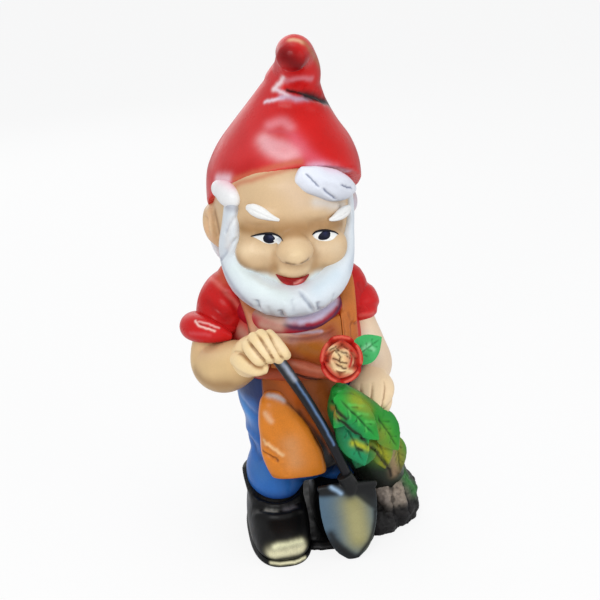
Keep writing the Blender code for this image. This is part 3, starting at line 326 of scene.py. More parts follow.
def lacquer(name, dull, gloss, cover=0.10, shine=0.3):
    """A sprayed paint under clear lacquer: dull is its roughness, gloss how much lacquer lies on it."""
    material = bpy.data.materials.new(name)
    material.use_nodes = True
    nodes, links = material.node_tree.nodes, material.node_tree.links
    shader = nodes["Principled BSDF"]
    coat = nodes.new("ShaderNodeAttribute")
    effect = nodes.new("ShaderNodeGroup")
    peel = nodes.new("ShaderNodeBump")
    coat.attribute_name = "paint"
    effect.node_tree = spray_group
    effect.inputs["Cover"].default_value = cover
    effect.inputs["Dull"].default_value = dull
    peel.inputs["Strength"].default_value = 0.20
    peel.inputs["Distance"].default_value = 0.0004
    links.new(coat.outputs["Color"], effect.inputs["Paint"])
    links.new(effect.outputs["Color"], shader.inputs["Base Color"])
    links.new(effect.outputs["Roughness"], shader.inputs["Roughness"])
    links.new(effect.outputs["Height"], peel.inputs["Height"])
    links.new(peel.outputs["Normal"], shader.inputs["Normal"])
    shader.inputs["Coat Weight"].default_value = gloss
    shader.inputs["Coat Roughness"].default_value = 0.18
    shader.inputs["Specular IOR Level"].default_value = shine
    return material


black_lacquer = lacquer("Black lacquer", dull=0.36, gloss=0.04, cover=0.2, shine=0.12)
BLACK = (13, 13, 14)
ground = Moulding("ground_plinth")
ground_middle = (-4, -22)
rows = [(*ground_middle, 0, 42, 58), (*ground_middle, 3, 41.5, 57.5), (*ground_middle, 5.5, 38, 53.5)]
ground.loft(rows, level=True, sides=56, dome=0)
ground.fuse(1.2, 2)
ground.roughen(8, 0.6)
ground.coat(BLACK)
ground.finish(black_lacquer, "black_paint", "ground_plinth")


# Boots: a pair of short black rubber boots, each moulded with a broad toe, creases at the ankle and a sole.
# They stand apart, with the ground piece between them, and hold the trouser legs in their tops.
TOE_CREAM_AND_WELT_SHINE = (236, 230, 190)
TOE_SHINE = (252, 250, 206)
ANKLE_SHINE = (170, 170, 164)
ANKLE_GREY_SHINE = (130, 128, 135)
for side, x, y in (("right", -38.5, -42), ("left", 16, -28)):
    sole = Moulding(f"boot_sole_{side}")
    rows = [(x, y, 0, 24.2, 54.8), (x, y, 1.2, 25.2, 56), (x, y, 3.8, 25.2, 56), (x, y, 5.2, 24, 54.8)]
    sole.loft(rows, level=True, sides=64, square=2.7, dome=0)
    sole.fuse(0.8, 3)
    sole.coat(BLACK)
    if side == "right":
        # A painted highlight: a thin cream line along the front of the sole's welt.
        sole.spray(TOE_CREAM_AND_WELT_SHINE, [(-52, -95, 4.6), (-42, -98.5, 4.4), (-32, -98.5, 4.4), (-21, -94, 4.6)], 1.3, 0.95)
    sole.finish(black_lacquer, "black_paint", f"boot_sole_{side}")

    boot = Moulding(f"boot_{side}")
    boot.loft(
        [
            (x, y, 5.2, 23.4, 53),
            (x, y, 9, 24.4, 55),
            (x, y + 0.5, 17, 24.3, 53.6),
            (x, y + 4, 24, 23.6, 47.6),
            (x, y + 11, 31, 22.4, 39),
            (x, y + 18, 38, 23.6, 33.5),
            (x, y + 21, 46.5, 25.4, 30.4),
        ],
        level=True,
        sides=64,
        square=2.7,
        dome=0,
    )
    boot.trim((x, y - 13, 36.5), (0, -0.22, 0.975))
    boot.fuse(0.9, 8)
    for dx, dy, dz, depth in ((0, 0, 0, -2.2), (1, 3, 5, 1.4), (0, 5, 9, -2.0), (0, -5, -5, 1.6)):
        crease = [(x - 20, y - 8, 31), (x - 8, y - 19, 30.5), (x + 6, y - 20, 30), (x + 20, y - 8, 31)]
        boot.press([(a + dx, b + dy, c + dz) for a, b, c in crease], 2.4, depth)
    toe_bulge = [(x - 24, y - 30, 12), (x - 14, y - 45, 12), (x + 14, y - 45, 12), (x + 24, y - 30, 12)]
    boot.press(toe_bulge, 9, 0.8)
    boot.settle()
    boot.coat(BLACK)
    if side == "right":
        boot.spray(TOE_CREAM_AND_WELT_SHINE, [(-48, -91, 11), (-38, -94, 12), (-26, -92, 13)], 5, 0.97)
        # Painted highlights along the top of the cream toe and on the ankle creases.
        boot.spray(TOE_SHINE, [(-46, -91, 15), (-36, -92, 16.4), (-26, -90, 17)], 2.6, 0.8)
        boot.spray(BLACK, [(-60, -84, 8), (-44, -96, 7.4), (-30, -96, 7.6), (-16, -86, 8)], 2.2, 0.9)
        boot.spray(ANKLE_SHINE, [(-50, -62, 31), (-42, -65, 33)], 1.8, 0.8)
        boot.spray(ANKLE_GREY_SHINE, [(-34, -64, 31), (-27, -62, 30)], 2.4, 0.55)
    boot.finish(black_lacquer, "black_paint", f"boot_{side}")


# Earth mound: the lump of soil that the rose bush grows from, moulded beside the left boot.
# Its skin is pitted and drawn into roots, sprayed black and touched with grey-brown and green.
earth_lacquer = lacquer("Earth lacquer", dull=0.5, gloss=0.03, cover=0.3, shine=0.16)
mound = Moulding("earth_mound")
mound_middle = (54, -33)
mound.loft(
    [
        (*mound_middle, 0, 24.6, 25.2),
        (*mound_middle, 6, 26, 26.6),
        (*mound_middle, 16, 26.2, 26.6),
        (*mound_middle, 30, 23.2, 24),
        (*mound_middle, 43, 16.2, 17.4),
        (*mound_middle, 50, 6, 7),
    ],
    level=True,
    sides=56,
    dome=0,
)
mound.ball((43, -54.4, 5), (17, 14, 14))
mound.fuse(0.8, 4)
for root in (
    [(40, -46, 46), (36, -55, 24), (33, -56, 3)],
    [(50, -50, 44), (50, -58, 22), (49, -61, 3)],
    [(60, -50, 42), (64, -56, 24), (66, -57, 3)],
    [(68, -44, 38), (76, -46, 20), (79, -42, 4)],
    [(72, -30, 36), (80, -26, 18), (82, -22, 3)],
    [(60, -16, 42), (64, -8, 20), (66, -6, 3)],
    [(46, -14, 42), (44, -8, 20), (42, -6, 3)],
):
    mound.press(root, 3.2, 2.2)
    mound.press([(a + 5, b, c) for a, b, c in root], 1.8, -1.6)
mound.settle()
mound.roughen(7, 1.8)
mound.roughen(2.6, 0.7)
mound.settle()
EARTH = (50, 48, 47)
DRY_EARTH = (160, 146, 132)
GREY_EARTH = (108, 100, 100)
PALE_EARTH = (176, 158, 140)
PIT_SHADE_BLACK = (14, 13, 14)
WORN_EARTH = (150, 138, 126)
MOSS = (58, 118, 60)
LOWER_EARTH_DARK = (24, 23, 24)
mound.coat(EARTH)
mound.spray(DRY_EARTH, [(50, -56, 42), (56, -58, 34), (60, -58, 26)], 10, 0.85)
mound.spray(GREY_EARTH, [(46, -54, 44), (47, -58, 30)], 6, 0.5)
mound.spray(PALE_EARTH, [(56, -54, 40), (62, -54, 30)], 4, 0.6)
# Painted shade in the pits and between the roots.
mound.shade_and_wash_hollows(PIT_SHADE_BLACK, 0.8, 0.5)
mound.spray(WORN_EARTH, [(49, -51, 42), (48, -56, 35), (57, -57, 28)], 7, 0.7)
mound.spray(MOSS, [(63, -44, 46), (69, -46, 40), (74, -46, 30), (78, -42, 21)], 6.4, 0.92)
# Darker towards the bottom of the mound.
mound.fade(LOWER_EARTH_DARK, (*mound_middle, 26), (*mound_middle, 17), 0.93)
mound.finish(earth_lacquer, "earth_paint", "earth_mound")


# Trousers: blue working trousers, one moulding of the hips and two short legs that are tucked into the boots.
# The blue has a painted highlight at the side of the thigh, and painted navy shade under the apron, between
# the legs, in the folds and towards the hems.
blue_lacquer = lacquer("Blue lacquer", dull=0.34, gloss=0.1, cover=0.1, shine=0.16)
trousers = Moulding("trousers")
trousers.loft(
    [
        (-9, -11, 56, 33, 34),
        (-7.4, -7.6, 64, 46.4, 47.5),
        (-6.6, -4.3, 80, 49.4, 54),
        (-7, -3.2, 92, 50.4, 54),
        (-9, -2.2, 105, 52, 54),
        (-9.6, -2.6, 126, 53.4, 57.6),
        (-11.2, -3.4, 142, 54, 57.6),
    ],
    level=True,
    sides=64,
    dome=(0.6, 0.1),
)
trousers.loft(
    [
        (-36.4, -23.6, 30, 19, 27),
        (-36.4, -23.4, 37, 22.6, 30.4),
        (-36.4, -22.6, 45, 23.8, 30),
        (-36, -21, 54, 23.6, 29.4),
        (-30.4, -17.8, 67, 24, 31),
        (-23.5, -12.7, 94, 24, 29),
    ],
    level=True,
    sides=48,
)
trousers.loft(
    [
        (15, -8, 37, 21, 25),
        (15.5, -8, 44, 25.6, 30),
        (16, -7.2, 54, 25, 29.4),
        (11, -6, 67, 26, 31),
        (3.5, -4.3, 94, 24, 29),
    ],
    level=True,
    sides=48,
)
trousers.fuse(1.2, 8)
trousers.press([(-62, -6, 74), (-58, -30, 70), (-50, -46, 66)], 4, -2.4)
trousers.press([(-62, 0, 84), (-60, -26, 80), (-54, -44, 78)], 4, 1.6)
trousers.press([(-64, -10, 112), (-60, -34, 104), (-52, -48, 100)], 5, -1.6)
trousers.press([(40, -2, 74), (36, -22, 70), (30, -34, 68)], 4, -2.2)
trousers.press([(-40, 40, 66), (-9, 46, 60), (24, 42, 66)], 5, -2.0)
trousers.press([(-12, 44, 50), (-11, 48, 72), (-10, 52, 96)], 5, -3.0)
trousers.settle()
BLUE = (44, 106, 184)
THIGH_HIGHLIGHT_BLUE = (72, 148, 224)
KNEE_BLUE = (66, 116, 176)
WAIST_SHADE_NAVY = (24, 40, 96)
APRON_SHADOW_VIOLET = (40, 34, 90)
BETWEEN_LEGS_SHADE = (14, 22, 58)
HEM_SHADE_NAVY = (26, 44, 110)
FOLD_SHADE_NAVY = (16, 24, 70)
SPADE_SHADOW_BLACK = (12, 14, 24)
trousers.coat(BLUE)
# Painted highlight on the side of the thigh.
trousers.spray(THIGH_HIGHLIGHT_BLUE, [(-63, -18, 108), (-61, -22, 98)], 8, 0.85)
trousers.spray(KNEE_BLUE, [(-57, -38, 62), (-50, -46, 56)], 7, 0.6)
# Painted navy shade: at the waist under the apron, along the apron's edge, between the legs, towards the
# hems, in the folds and behind the spade.
trousers.fade(WAIST_SHADE_NAVY, (-10, 0, 113), (-10, 0, 124), 0.92)
trousers.spray(APRON_SHADOW_VIOLET, [(-50, -46, 116), (-52, -44, 92), (-50, -46, 76)], 6, 0.8)
trousers.spray(BETWEEN_LEGS_SHADE, [(-12, -46, 78), (-4, -48, 64), (12, -44, 62), (28, -36, 66)], 15, 0.97)
trousers.fade(HEM_SHADE_NAVY, (-38, -30, 46), (-38, -30, 34), 0.8)
trousers.shade_and_wash_hollows(FOLD_SHADE_NAVY, 0.6, 0.9)
trousers.spray(SPADE_SHADOW_BLACK, [(0, -44, 62), (10, -40, 60), (18, -38, 60), (24, -36, 56)], 12, 0.97)
trousers.finish(blue_lacquer, "blue_paint", "trousers")


# Shirt: a red work shirt, moulded as a barrel-shaped trunk that plugs into the trousers.
# The collar is a soft roll round its neck, sprayed crimson, with lilac where it shows in front and a plum
# line of painted shade along its lower edge.
red_lacquer = lacquer("Red lacquer", dull=0.3, gloss=0.06, cover=0.1, shine=0.12)
RED = (204, 30, 30)
RED_SHADE = (150, 16, 20)
NECK_X = -17
trunk_rows = [
    (-9, -0.7, 105, 54.9, 56.6),
    (-10.8, -2.4, 125.7, 56.6, 59),
    (-13, -3.8, 152, 56, 59),
    (-14.9, -3.8, 174.6, 56, 55.5),
    (-16.4, -3.3, 191.5, 50.4, 47.2),
    (NECK_X, -2.4, 201, 37, 35.4),
]
shirt = Moulding("shirt_body")
shirt.loft([(-11.8, -3.1, 136, 52, 55), *trunk_rows[2:]], level=True, sides=64, dome=0.3)
shirt.fuse(1.3, 6)
shirt.press([(-60, 20, 166), (-40, 48, 160), (-9, 57, 158), (20, 48, 160), (38, 24, 166)], 5, -1.4)
shirt.press([(-10, 56, 196), (-10, 58, 176), (-10, 58, 160)], 5, -1.2)
shirt.settle()
SHOULDER_HAZE = (222, 176, 156)
shirt.coat(RED)
# Painted shade: darker towards the waist under the apron tie, and in the folds.
shirt.fade(RED_SHADE, (-12, 0, 164), (-12, 0, 148), 0.6)
shirt.spray(SHOULDER_HAZE, [(-57, -38, 178), (-50, -48, 172)], 6, 0.75)
shirt.shade_and_wash_hollows(RED_SHADE, 0.6, 0.8)
shirt.finish(red_lacquer, "red_paint", "shirt_body")

collar_lacquer = lacquer("Collar lacquer", dull=0.32, gloss=0.08, cover=0.1, shine=0.14)
collar = Moulding("shirt_collar")
full_turn = [math.radians(step) for step in range(0, 360, 20)]
neck_ring = [
    (NECK_X + 39 * math.cos(a), -6 + 48 * math.sin(a), 197 + 9.9 * math.sin(a), 9)
    for a in full_turn
]
collar.loft(neck_ring, side=(0, 0, 1), loop=True)
collar.fuse(1.0, 5)
collar.press([(-52, -30, 190), (-38, -50, 184), (-16, -60, 180), (8, -50, 184), (20, -30, 192)], 2.2, -2.2)
collar.settle()
CRIMSON = (176, 26, 44)
NAPE_RED = (196, 30, 34)
LILAC = (214, 208, 228)
DEEP_LILAC = (206, 196, 220)
CRIMSON_LINE = (180, 28, 46)
PLUM_SHADE_LINE = (78, 38, 72)
COLLAR_HAZE = (214, 186, 166)
LOWER_HAZE = (208, 170, 152)
collar.coat(CRIMSON)
collar.fade(NAPE_RED, (-17, -10, 200), (-17, 30, 200))
collar.spray(
    LILAC, [(-22, -60, 194), (-14, -59, 195.6), (-4, -57, 197), (6, -52, 199), (18, -40, 203)], 4.6, 0.95
)
collar.spray(
    DEEP_LILAC,
    [(-13.8, -61.7, 191.5), (-4.3, -60.2, 191), (4.3, -55.4, 193.4), (16.4, -43.8, 196.6)],
    3,
    0.95,
)
collar.spray(
    CRIMSON_LINE, [(-8, -62, 188.6), (1, -59.8, 187.4), (11, -53, 189.4), (18.5, -44.5, 193.6)], 1.9, 0.95
)
# Painted shade: a plum line along the lower edge of the collar roll.
collar.spray(
    PLUM_SHADE_LINE,
    [
        (-26, -61.5, 190.4),
        (-14, -63, 186.6),
        (0, -59.6, 185),
        (11, -53, 187),
        (19, -44, 191.4),
        (25, -30, 199),
    ],
    2.3,
    0.95,
)
collar.spray(COLLAR_HAZE, [(-43.9, -44.7, 198), (-37.2, -53.1, 195.6), (-28.7, -58.7, 193.5)], 5, 0.8)
collar.spray(LOWER_HAZE, [(-42, -54, 189), (-36, -59, 188), (-30, -62, 187.6)], 4, 0.75)
collar.finish(collar_lacquer, "collar_paint", "shirt_collar")


# Apron: a leather-coloured gardener's apron with a bib, two shoulder straps, a waist tie with a bow behind,
# a skirt that falls open over the knees and a stiff pocket panel. Each is moulded proud of the shirt.
orange_lacquer = lacquer("Apron lacquer", dull=0.32, gloss=0.1, cover=0.14, shine=0.14)
PROUD = 4.4
proud_rows = [(x, y, z, wide + PROUD, deep + PROUD) for x, y, z, wide, deep in trunk_rows]


def front_panel(name, left, right, low, high, more=()):
    """The front of a skin that stands proud of the shirt, between these limits, with any band added."""
    panel = Moulding(name)
    panel.loft(proud_rows, level=True, sides=64, dome=0.3)
    for at, outward in (
        ((left, 0, 0), (-1, 0, 0)),
        ((right, 0, 0), (1, 0, 0)),
        ((0, 0, low), (0, 0, -1)),
        ((0, 0, high), (0, 0, 1)),
        ((0, -12, 0), (0, 1, 0)),
    ):
        panel.trim(at, outward)
    if more:
        panel.loft(more, side=(1, 0, 0), sides=32, square=3, dome=0.2)
    panel.fuse(0.9, 6)
    return panel


bib = front_panel("apron_bib", -38, 20, 155, 187)
bib.press([(-36, -60, 184.5), (-16, -68, 182.5), (2, -66, 182.5), (18, -58, 184)], 1.5, 1.2)
bib.press([(-36, -60, 181), (-16, -68, 179), (2, -66, 179), (18, -58, 180.5)], 1.6, -1.0)
bib.press([(-20, -66, 174), (-10, -68, 168), (4, -66, 160)], 4, -1.2)
bib.settle()
BIB_ORANGE = (190, 110, 44)
BIB_HAZE = (218, 182, 158)
BIB_TOP_SHADE = (162, 98, 94)
BIB_RUST = (140, 56, 24)
BIB_OCHRE = (176, 106, 36)
BIB_LILAC = (196, 176, 190)
BIB_EDGE = (150, 54, 34)
bib.coat(BIB_ORANGE)
bib.spray(BIB_HAZE, [(-38, -57, 181), (-27, -60.8, 182), (-18.3, -62.2, 178.9)], 4.4, 0.85)
# Painted shade across the top of the bib, under the collar.
bib.spray(BIB_TOP_SHADE, [(-20, -62, 178), (-6, -62.6, 177), (8, -60, 178)], 4.4, 0.75)
bib.spray(BIB_RUST, [(-23, -64.5, 167), (-8, -66.2, 160), (6, -64, 158)], 5, 0.75)
bib.spray(BIB_OCHRE, [(-13, -63.7, 171), (-2.7, -63.7, 170)], 5, 0.8)
bib.spray(BIB_LILAC, [(-25.4, -58.9, 184.2), (-14.1, -60.8, 182.1), (3.2, -59.2, 181.3)], 1.4, 0.9)
bib.spray(BIB_EDGE, [(14, -60, 180), (16, -58, 160)], 6, 0.7)
bib.finish(orange_lacquer, "apron_paint", "apron_bib")

over_shoulder = {
    "right": [
        (-45.4, -50.4, 181, 6.6, 2.4),
        (-47.6, -43, 195, 6.8, 2.6),
        (-51, -31.4, 207.6, 6.8, 2.4),
        (-53.4, -18.6, 219, 6.8, 2.4),
        (-54, -5, 227, 6.8, 2.4),
        (-53, 7, 224, 6.8, 2.4),
    ],
    "left": [
        (27.4, -40.4, 179, 6.6, 2.4),
        (28, -34, 194, 6.8, 2.6),
        (28.6, -21.8, 207.4, 6.8, 2.4),
        (28.6, -5, 214.4, 6.8, 2.4),
        (28, 8, 212, 6.8, 2.4),
    ],
}
STRAP_ORANGE = (190, 98, 36)
STRAP_ROSE = (186, 108, 84)
STRAP_HAZE = (212, 176, 150)
STRAP_SHADE = (96, 52, 46)
STRAP_BROWN = (140, 66, 22)
STRAP_TOP_HIGHLIGHT = (226, 150, 84)
STRAP_GROOVE_SHADE = (110, 44, 18)
for side, left, right in (("right", -52.6, -38.3), ("left", 20.3, 34.6)):
    strap = front_panel(f"apron_strap_{side}", left, right, 155, 188, over_shoulder[side])
    middle = (left + right) / 2
    for edge in (left + 2.2, right - 2.2):
        strap.press([(edge, -44, 190), (edge, -52, 172), (edge, -52, 158)], 1.1, -0.6)
    strap.settle()
    strap.coat(STRAP_ORANGE if side == "left" else STRAP_ROSE)
    if side == "right":
        strap.spray(STRAP_HAZE, [(-46, -52, 184), (-45, -55, 172)], 7, 0.8)
        strap.spray(STRAP_SHADE, [(-54.6, -34, 204), (-53, -43, 194), (-52.4, -50, 182)], 1.8, 0.8)
    strap.fade(STRAP_BROWN, (middle, -50, 172), (middle, -50, 156), 0.5)
    # Painted light on the faces that turn up and forward, and painted shade in the grooves.
    strap.facing_light_and_shade(STRAP_TOP_HIGHLIGHT, (0, -0.6, 0.8), 0.4)
    strap.shade_and_wash_hollows(STRAP_GROOVE_SHADE, 0.7, 0.5)
    strap.finish(orange_lacquer, "apron_paint", f"apron_strap_{side}")

tie = Moulding("apron_tie")
waist_ring = [(-11.5 + 57.6 * math.cos(a), -3.7 + 60.8 * math.sin(a), 150.1, 6, 4.2) for a in full_turn]
tie.loft(waist_ring, side=(0, 0, 1), loop=True)
tie.loft(
    [(-30, -66, 161, 5, 4), (-16, -69, 156, 7, 5), (-4, -68.5, 151, 6.4, 5), (8, -65, 146.5, 4, 4)],
    side=(0, 0, 1),
)
tie.fuse(0.9, 5)
tie.press([(-30, -68, 156), (-17, -72, 150.5), (-6, -72, 146), (6, -68, 142)], 2, -2.4)
tie.press([(-26, -70, 160), (-12, -73, 155), (2, -70, 150)], 1.6, -0.7)
tie.settle()
TIE_RUST = (168, 74, 44)
TIE_HIGHLIGHT = (206, 124, 96)
TIE_SHADE = (40, 16, 14)
TIE_ORANGE = (196, 104, 36)
tie.coat(TIE_RUST)
# Painted highlight along the top of the fold, and painted shade under it.
tie.spray(TIE_HIGHLIGHT, [(-22, -70, 161), (-8, -72, 156), (2, -70, 152)], 2.6, 0.7)
tie.spray(TIE_SHADE, [(-27, -68, 156), (-17, -71, 150.5), (-7, -71, 146), (3, -68, 141.5)], 1.8, 0.9)
tie.fade(TIE_ORANGE, (0, 0, 150), (0, 30, 150))
tie.finish(orange_lacquer, "apron_paint", "apron_tie")

bow = Moulding("apron_bow")
knot_x = -9
bow.ball((knot_x, 61.5, 150), (7.4, 6.4, 7.6))
for out in (-1, 1):
    bow.loft(
        [
            (knot_x + out * 4, 60, 150, 4, 3),
            (knot_x + out * 16, 59.6, 153, 9.4, 4),
            (knot_x + out * 27, 57, 151.5, 9, 4),
            (knot_x + out * 30, 56, 150, 5, 3),
        ],
        side=(0, 0, 1),
    )
    bow.loft(
        [
            (knot_x + out * 3, 61, 148, 4, 2.6),
            (knot_x + out * 8, 62, 132, 6, 2.8),
            (knot_x + out * 12.5, 61, 115, 6.6, 2.6),
        ],
        dome=0.3,
    )
bow.fuse(0.8, 4)
for out in (-1, 1):
    bow.press(
        [(knot_x + out * 8, 64, 151), (knot_x + out * 18, 64, 153), (knot_x + out * 26, 61, 152)], 1.8, -1.6
    )
    bow.press(
        [(knot_x + out * 4, 64, 145), (knot_x + out * 9, 65, 130), (knot_x + out * 12, 64, 116)], 1.8, -1.2
    )
bow.press([(-15, 66, 152), (-9, 68, 150), (-3, 66, 148)], 1.5, -1.0)
bow.settle()
BOW_ORANGE = (200, 108, 34)
BOW_FOLD_SHADE = (112, 48, 16)
bow.coat(BOW_ORANGE)
# Painted shade in the folds of the bow.
bow.shade_and_wash_hollows(BOW_FOLD_SHADE, 0.9, 0.5)
bow.finish(orange_lacquer, "apron_paint", "apron_bow")

skirt = Moulding("apron_skirt")
skirt_x = -16.8
skirt.loft(
    [
        (skirt_x, -28, 66, 43.6, 41),
        (skirt_x, -29, 87, 46.6, 43),
        (skirt_x, -28, 111, 48, 43.5),
        (skirt_x, -22.5, 134, 47, 43.5),
        (skirt_x, -19, 151, 46.5, 43),
    ],
    level=True,
    sides=64,
    dome=0.1,
)
for at, outward in (((-45, 0, 0), (-1, 0, 0)), ((29, 0, 0), (1, 0, 0)), ((0, -19, 0), (0, 1, 0))):
    skirt.trim(at, outward)
skirt.fuse(1.0, 6)
skirt.press([(-24, -66, 142), (-8, -72, 112), (6, -70, 84), (8, -68, 66)], 6, -2.4)
skirt.press([(0, -66, 134), (16, -62, 108), (22, -56, 84)], 5, 1.6)
skirt.settle()
SKIRT_BROWN = (152, 80, 32)
SKIRT_ORANGE = (188, 92, 24)
SKIRT_RUST = (138, 70, 36)
SKIRT_SHADE = (30, 24, 24)
SKIRT_BLACK = (20, 18, 20)
SKIRT_EDGE = (164, 78, 22)
skirt.coat(SKIRT_BROWN)
skirt.spray(SKIRT_ORANGE, [(-36, -60, 148), (-28.3, -63, 141), (-20, -66, 128)], 4.5, 0.8)
skirt.spray(SKIRT_RUST, [(-16.7, -64.3, 140), (-6.2, -67.2, 123), (4.7, -66.8, 106)], 5, 0.6)
skirt.spray(SKIRT_SHADE, [(-18, -68.2, 119), (-6.8, -69.6, 101), (2.4, -64.6, 76.3)], 3.6, 0.9)
skirt.fade(SKIRT_BLACK, (2, -66, 114), (10, -62, 90), 0.97)
skirt.fade(SKIRT_BLACK, (-4, -70, 100), (2, -70, 80), 0.8)
skirt.spray(SKIRT_EDGE, [(-19, -68, 126), (-14, -69, 117), (-3.6, -69, 101), (6, -65, 80)], 2.2, 0.85)
skirt.finish(orange_lacquer, "apron_paint", "apron_skirt")

pocket = Moulding("apron_pocket")
pocket.loft(
    [
        (-38.6, -63, 135, 6.5, 5),
        (-37.6, -65, 128, 11.5, 8.5),
        (-33.4, -67, 113, 17.8, 11),
        (-29.6, -67, 100, 21, 12),
        (-26.6, -66.5, 87, 23.8, 12.4),
        (-24, -66, 75, 23.4, 11.8),
        (-21.6, -65, 65.5, 22, 10.5),
    ],
    level=True,
    sides=56,
    square=3,
    dome=(0.3, 0.12),
)
pocket.fuse(0.8, 8)
pocket.press([(-49.3, -75.3, 100.2), (-43, -79.8, 96.5), (-33.3, -78.7, 86.1)], 2.4, 2.0)
pocket.press([(-49.6, -72.8, 91.2), (-43.2, -76.2, 86.9), (-38, -77.3, 83.3)], 1.6, -2.0)
pocket.press([(-35, -79, 82), (-34, -79, 73), (-33, -77, 68)], 2.2, -0.9)
pocket.press([(-46.2, -74.3, 123.4), (-35.9, -79.5, 111), (-24.5, -79.4, 90.6)], 5, 1.2)
pocket.settle()
POCKET_ORANGE = (220, 130, 40)
POCKET_HIGHLIGHT = (214, 150, 96)
POCKET_FOLD_HIGHLIGHT = (240, 194, 140)
POCKET_CORNER_HIGHLIGHT = (240, 200, 160)
POCKET_CREASE_SHADE = (112, 58, 26)
POCKET_RIM_HIGHLIGHT = (206, 196, 196)
POCKET_SIDE_SHADE = (120, 76, 60)
POCKET_EDGE_SHADOW = (26, 22, 28)
POCKET_HEM = (170, 92, 30)
pocket.coat(POCKET_ORANGE)
# Painted highlights on the bulge, the fold, the turned corner and the top rim, painted shade in the crease
# under the fold, and painted shadow down the right edge.
pocket.spray(POCKET_HIGHLIGHT, [(-28.7, -80, 98), (-24.9, -78.5, 81.5)], 8, 0.75)
pocket.spray(POCKET_FOLD_HIGHLIGHT, [(-49.3, -75.3, 101), (-43, -79.8, 97.3), (-35, -79.5, 89)], 1.5, 0.9)
pocket.spray(POCKET_CORNER_HIGHLIGHT, [(-46.2, -74.3, 123.4), (-42, -77.5, 118)], 2.2, 0.6)
pocket.spray(POCKET_CREASE_SHADE, [(-49.6, -72.8, 92), (-43.2, -76.2, 87.6), (-38, -77.3, 84)], 1.2, 0.85)
pocket.spray(POCKET_RIM_HIGHLIGHT, [(-42, -66.5, 136.4), (-37, -68.5, 134.8), (-31, -69.6, 131.6)], 2.6, 0.95)
pocket.spray(POCKET_SIDE_SHADE, [(-27.5, -69.9, 128.5), (-20, -70, 118)], 2.4, 0.8)
pocket.spray(
    POCKET_EDGE_SHADOW, [(-20, -69, 117), (-12, -70.5, 104), (-6, -73, 94), (-1, -70.3, 76)], 2.2, 0.9
)
pocket.spray(POCKET_HEM, [(-44, -74, 67), (-28, -75, 64), (-8, -73, 63)], 3, 0.6)
pocket.finish(orange_lacquer, "apron_paint", "apron_pocket")


# Head: one skin-coloured moulding of the face, nose and ears. The neck sits in the shirt and the crown in the
# cap. Painted brown shade goes under the brow, beside the nose and under the cheeks, painted highlights go on
# the nose, cheeks, forehead and ear, and white is sprayed along the edge of the beard.
skin_lacquer = lacquer("Skin lacquer", dull=0.38, gloss=0.1, cover=0.06, shine=0.2)
SKIN = (218, 186, 145)
head = Moulding("head")
head.loft(
    [
        (NECK_X, -16.6, 199.3, 18.4, 21.4),
        (NECK_X, -14.1, 207.5, 32, 39.1),
        (NECK_X, -10.3, 222.4, 42.5, 52.9),
        (NECK_X, -6.6, 245.5, 49.5, 60.5),
        (NECK_X, -4, 270, 52.4, 61.5),
        (NECK_X, -2.8, 294, 51.4, 60),
        (NECK_X, -1.6, 304, 48.4, 57),
        (NECK_X, 0.5, 312, 43, 50.5),
        (NECK_X, 4, 322, 28, 32),
    ],
    level=True,
    sides=72,
    dome=0.3,
)
head.loft(
    [
        (-15.6, -53, 275, 6, 5),
        (-15.6, -57.6, 267, 7.2, 6),
        (-15.8, -64, 258, 10.8, 9.2),
        (-16, -71.5, 252.8, 14.2, 10.6),
        (-16, -77.6, 250.8, 12.2, 8.8),
        (-16, -81.4, 250.2, 8.6, 6),
    ],
    sides=40,
)
head.ball((-40.5, -47, 246), (18.6, 15.2, 17))
head.ball((9, -47, 246), (18.6, 15.2, 17))
head.ball((-16.5, -60, 238), (14.5, 10.5, 11))
head.loft(
    [
        (-52, -44, 275, 7, 6),
        (-36, -56, 277, 9, 6.4),
        (NECK_X, -59, 277, 8, 6),
        (2, -56, 277, 9, 6.4),
        (18, -44, 275, 7, 6),
    ],
    side=(0, 0, 1),
)
ears = (
    [
        (-66.5, 1, 238, 3.2, 5),
        (-70.5, 2, 245, 5.6, 9),
        (-72.5, 2, 256, 6.6, 12.5),
        (-71.5, 3, 267, 5.8, 11),
        (-67.5, 4, 273.5, 3.4, 6),
    ],
    [
        (34.5, 1, 254, 3, 5),
        (38.4, 2, 259, 4.8, 8.5),
        (40, 2, 266, 4.8, 9.5),
        (39, 3, 273, 4.2, 8.5),
        (35.5, 4, 279, 3, 6),
    ],
)
for rows in ears:
    head.loft(rows, level=True, sides=32)
head.fuse(0.92, 18)
for x in (-38, 6):
    head.press([(x - 12, -60, 267), (x, -64, 268.5), (x + 12, -63, 266.5)], 4, -1.5)
    head.press([(x - 10, -60, 256), (x, -62, 252.5), (x + 10, -62, 255)], 3, -0.8)
head.press([(-24, -76, 244.5), (-20, -78, 243)], 2.0, -1.4)
head.press([(-12, -78, 243), (-7, -76, 244.5)], 2.0, -1.4)
head.press([(-31, -66, 250), (-31, -65, 243), (-33, -63, 235)], 3, -1.0)
head.press([(0, -66, 250), (0, -64, 243), (2, -62, 235)], 3, -1.0)
head.press([(-74, -4, 249), (-74, -4, 258), (-74, -2, 265)], 3.6, -3.2)
head.press([(-74, -9, 246), (-74, -11, 257), (-74, -8, 267), (-74, 2, 270)], 2.2, 0.8)
head.settle()
NOSE_HIGHLIGHT = (238, 211, 168)
RIGHT_CHEEK_HIGHLIGHT = (238, 211, 172)
LEFT_CHEEK_HIGHLIGHT = (226, 202, 168)
FOREHEAD_HIGHLIGHT = (228, 202, 176)
UNDER_BROW_SHADE = (166, 126, 80)
SOFT_SHADE_BROWN = (186, 144, 98)
NOSE_BRIDGE_SHADE = (178, 136, 90)
RIGHT_JOWL_SHADE = (168, 132, 92)
LEFT_JOWL_SHADE = (178, 144, 102)
LEFT_NOSE_FOLD_SHADE = (190, 150, 106)
UNDER_NOSE_SHADE = (164, 122, 76)
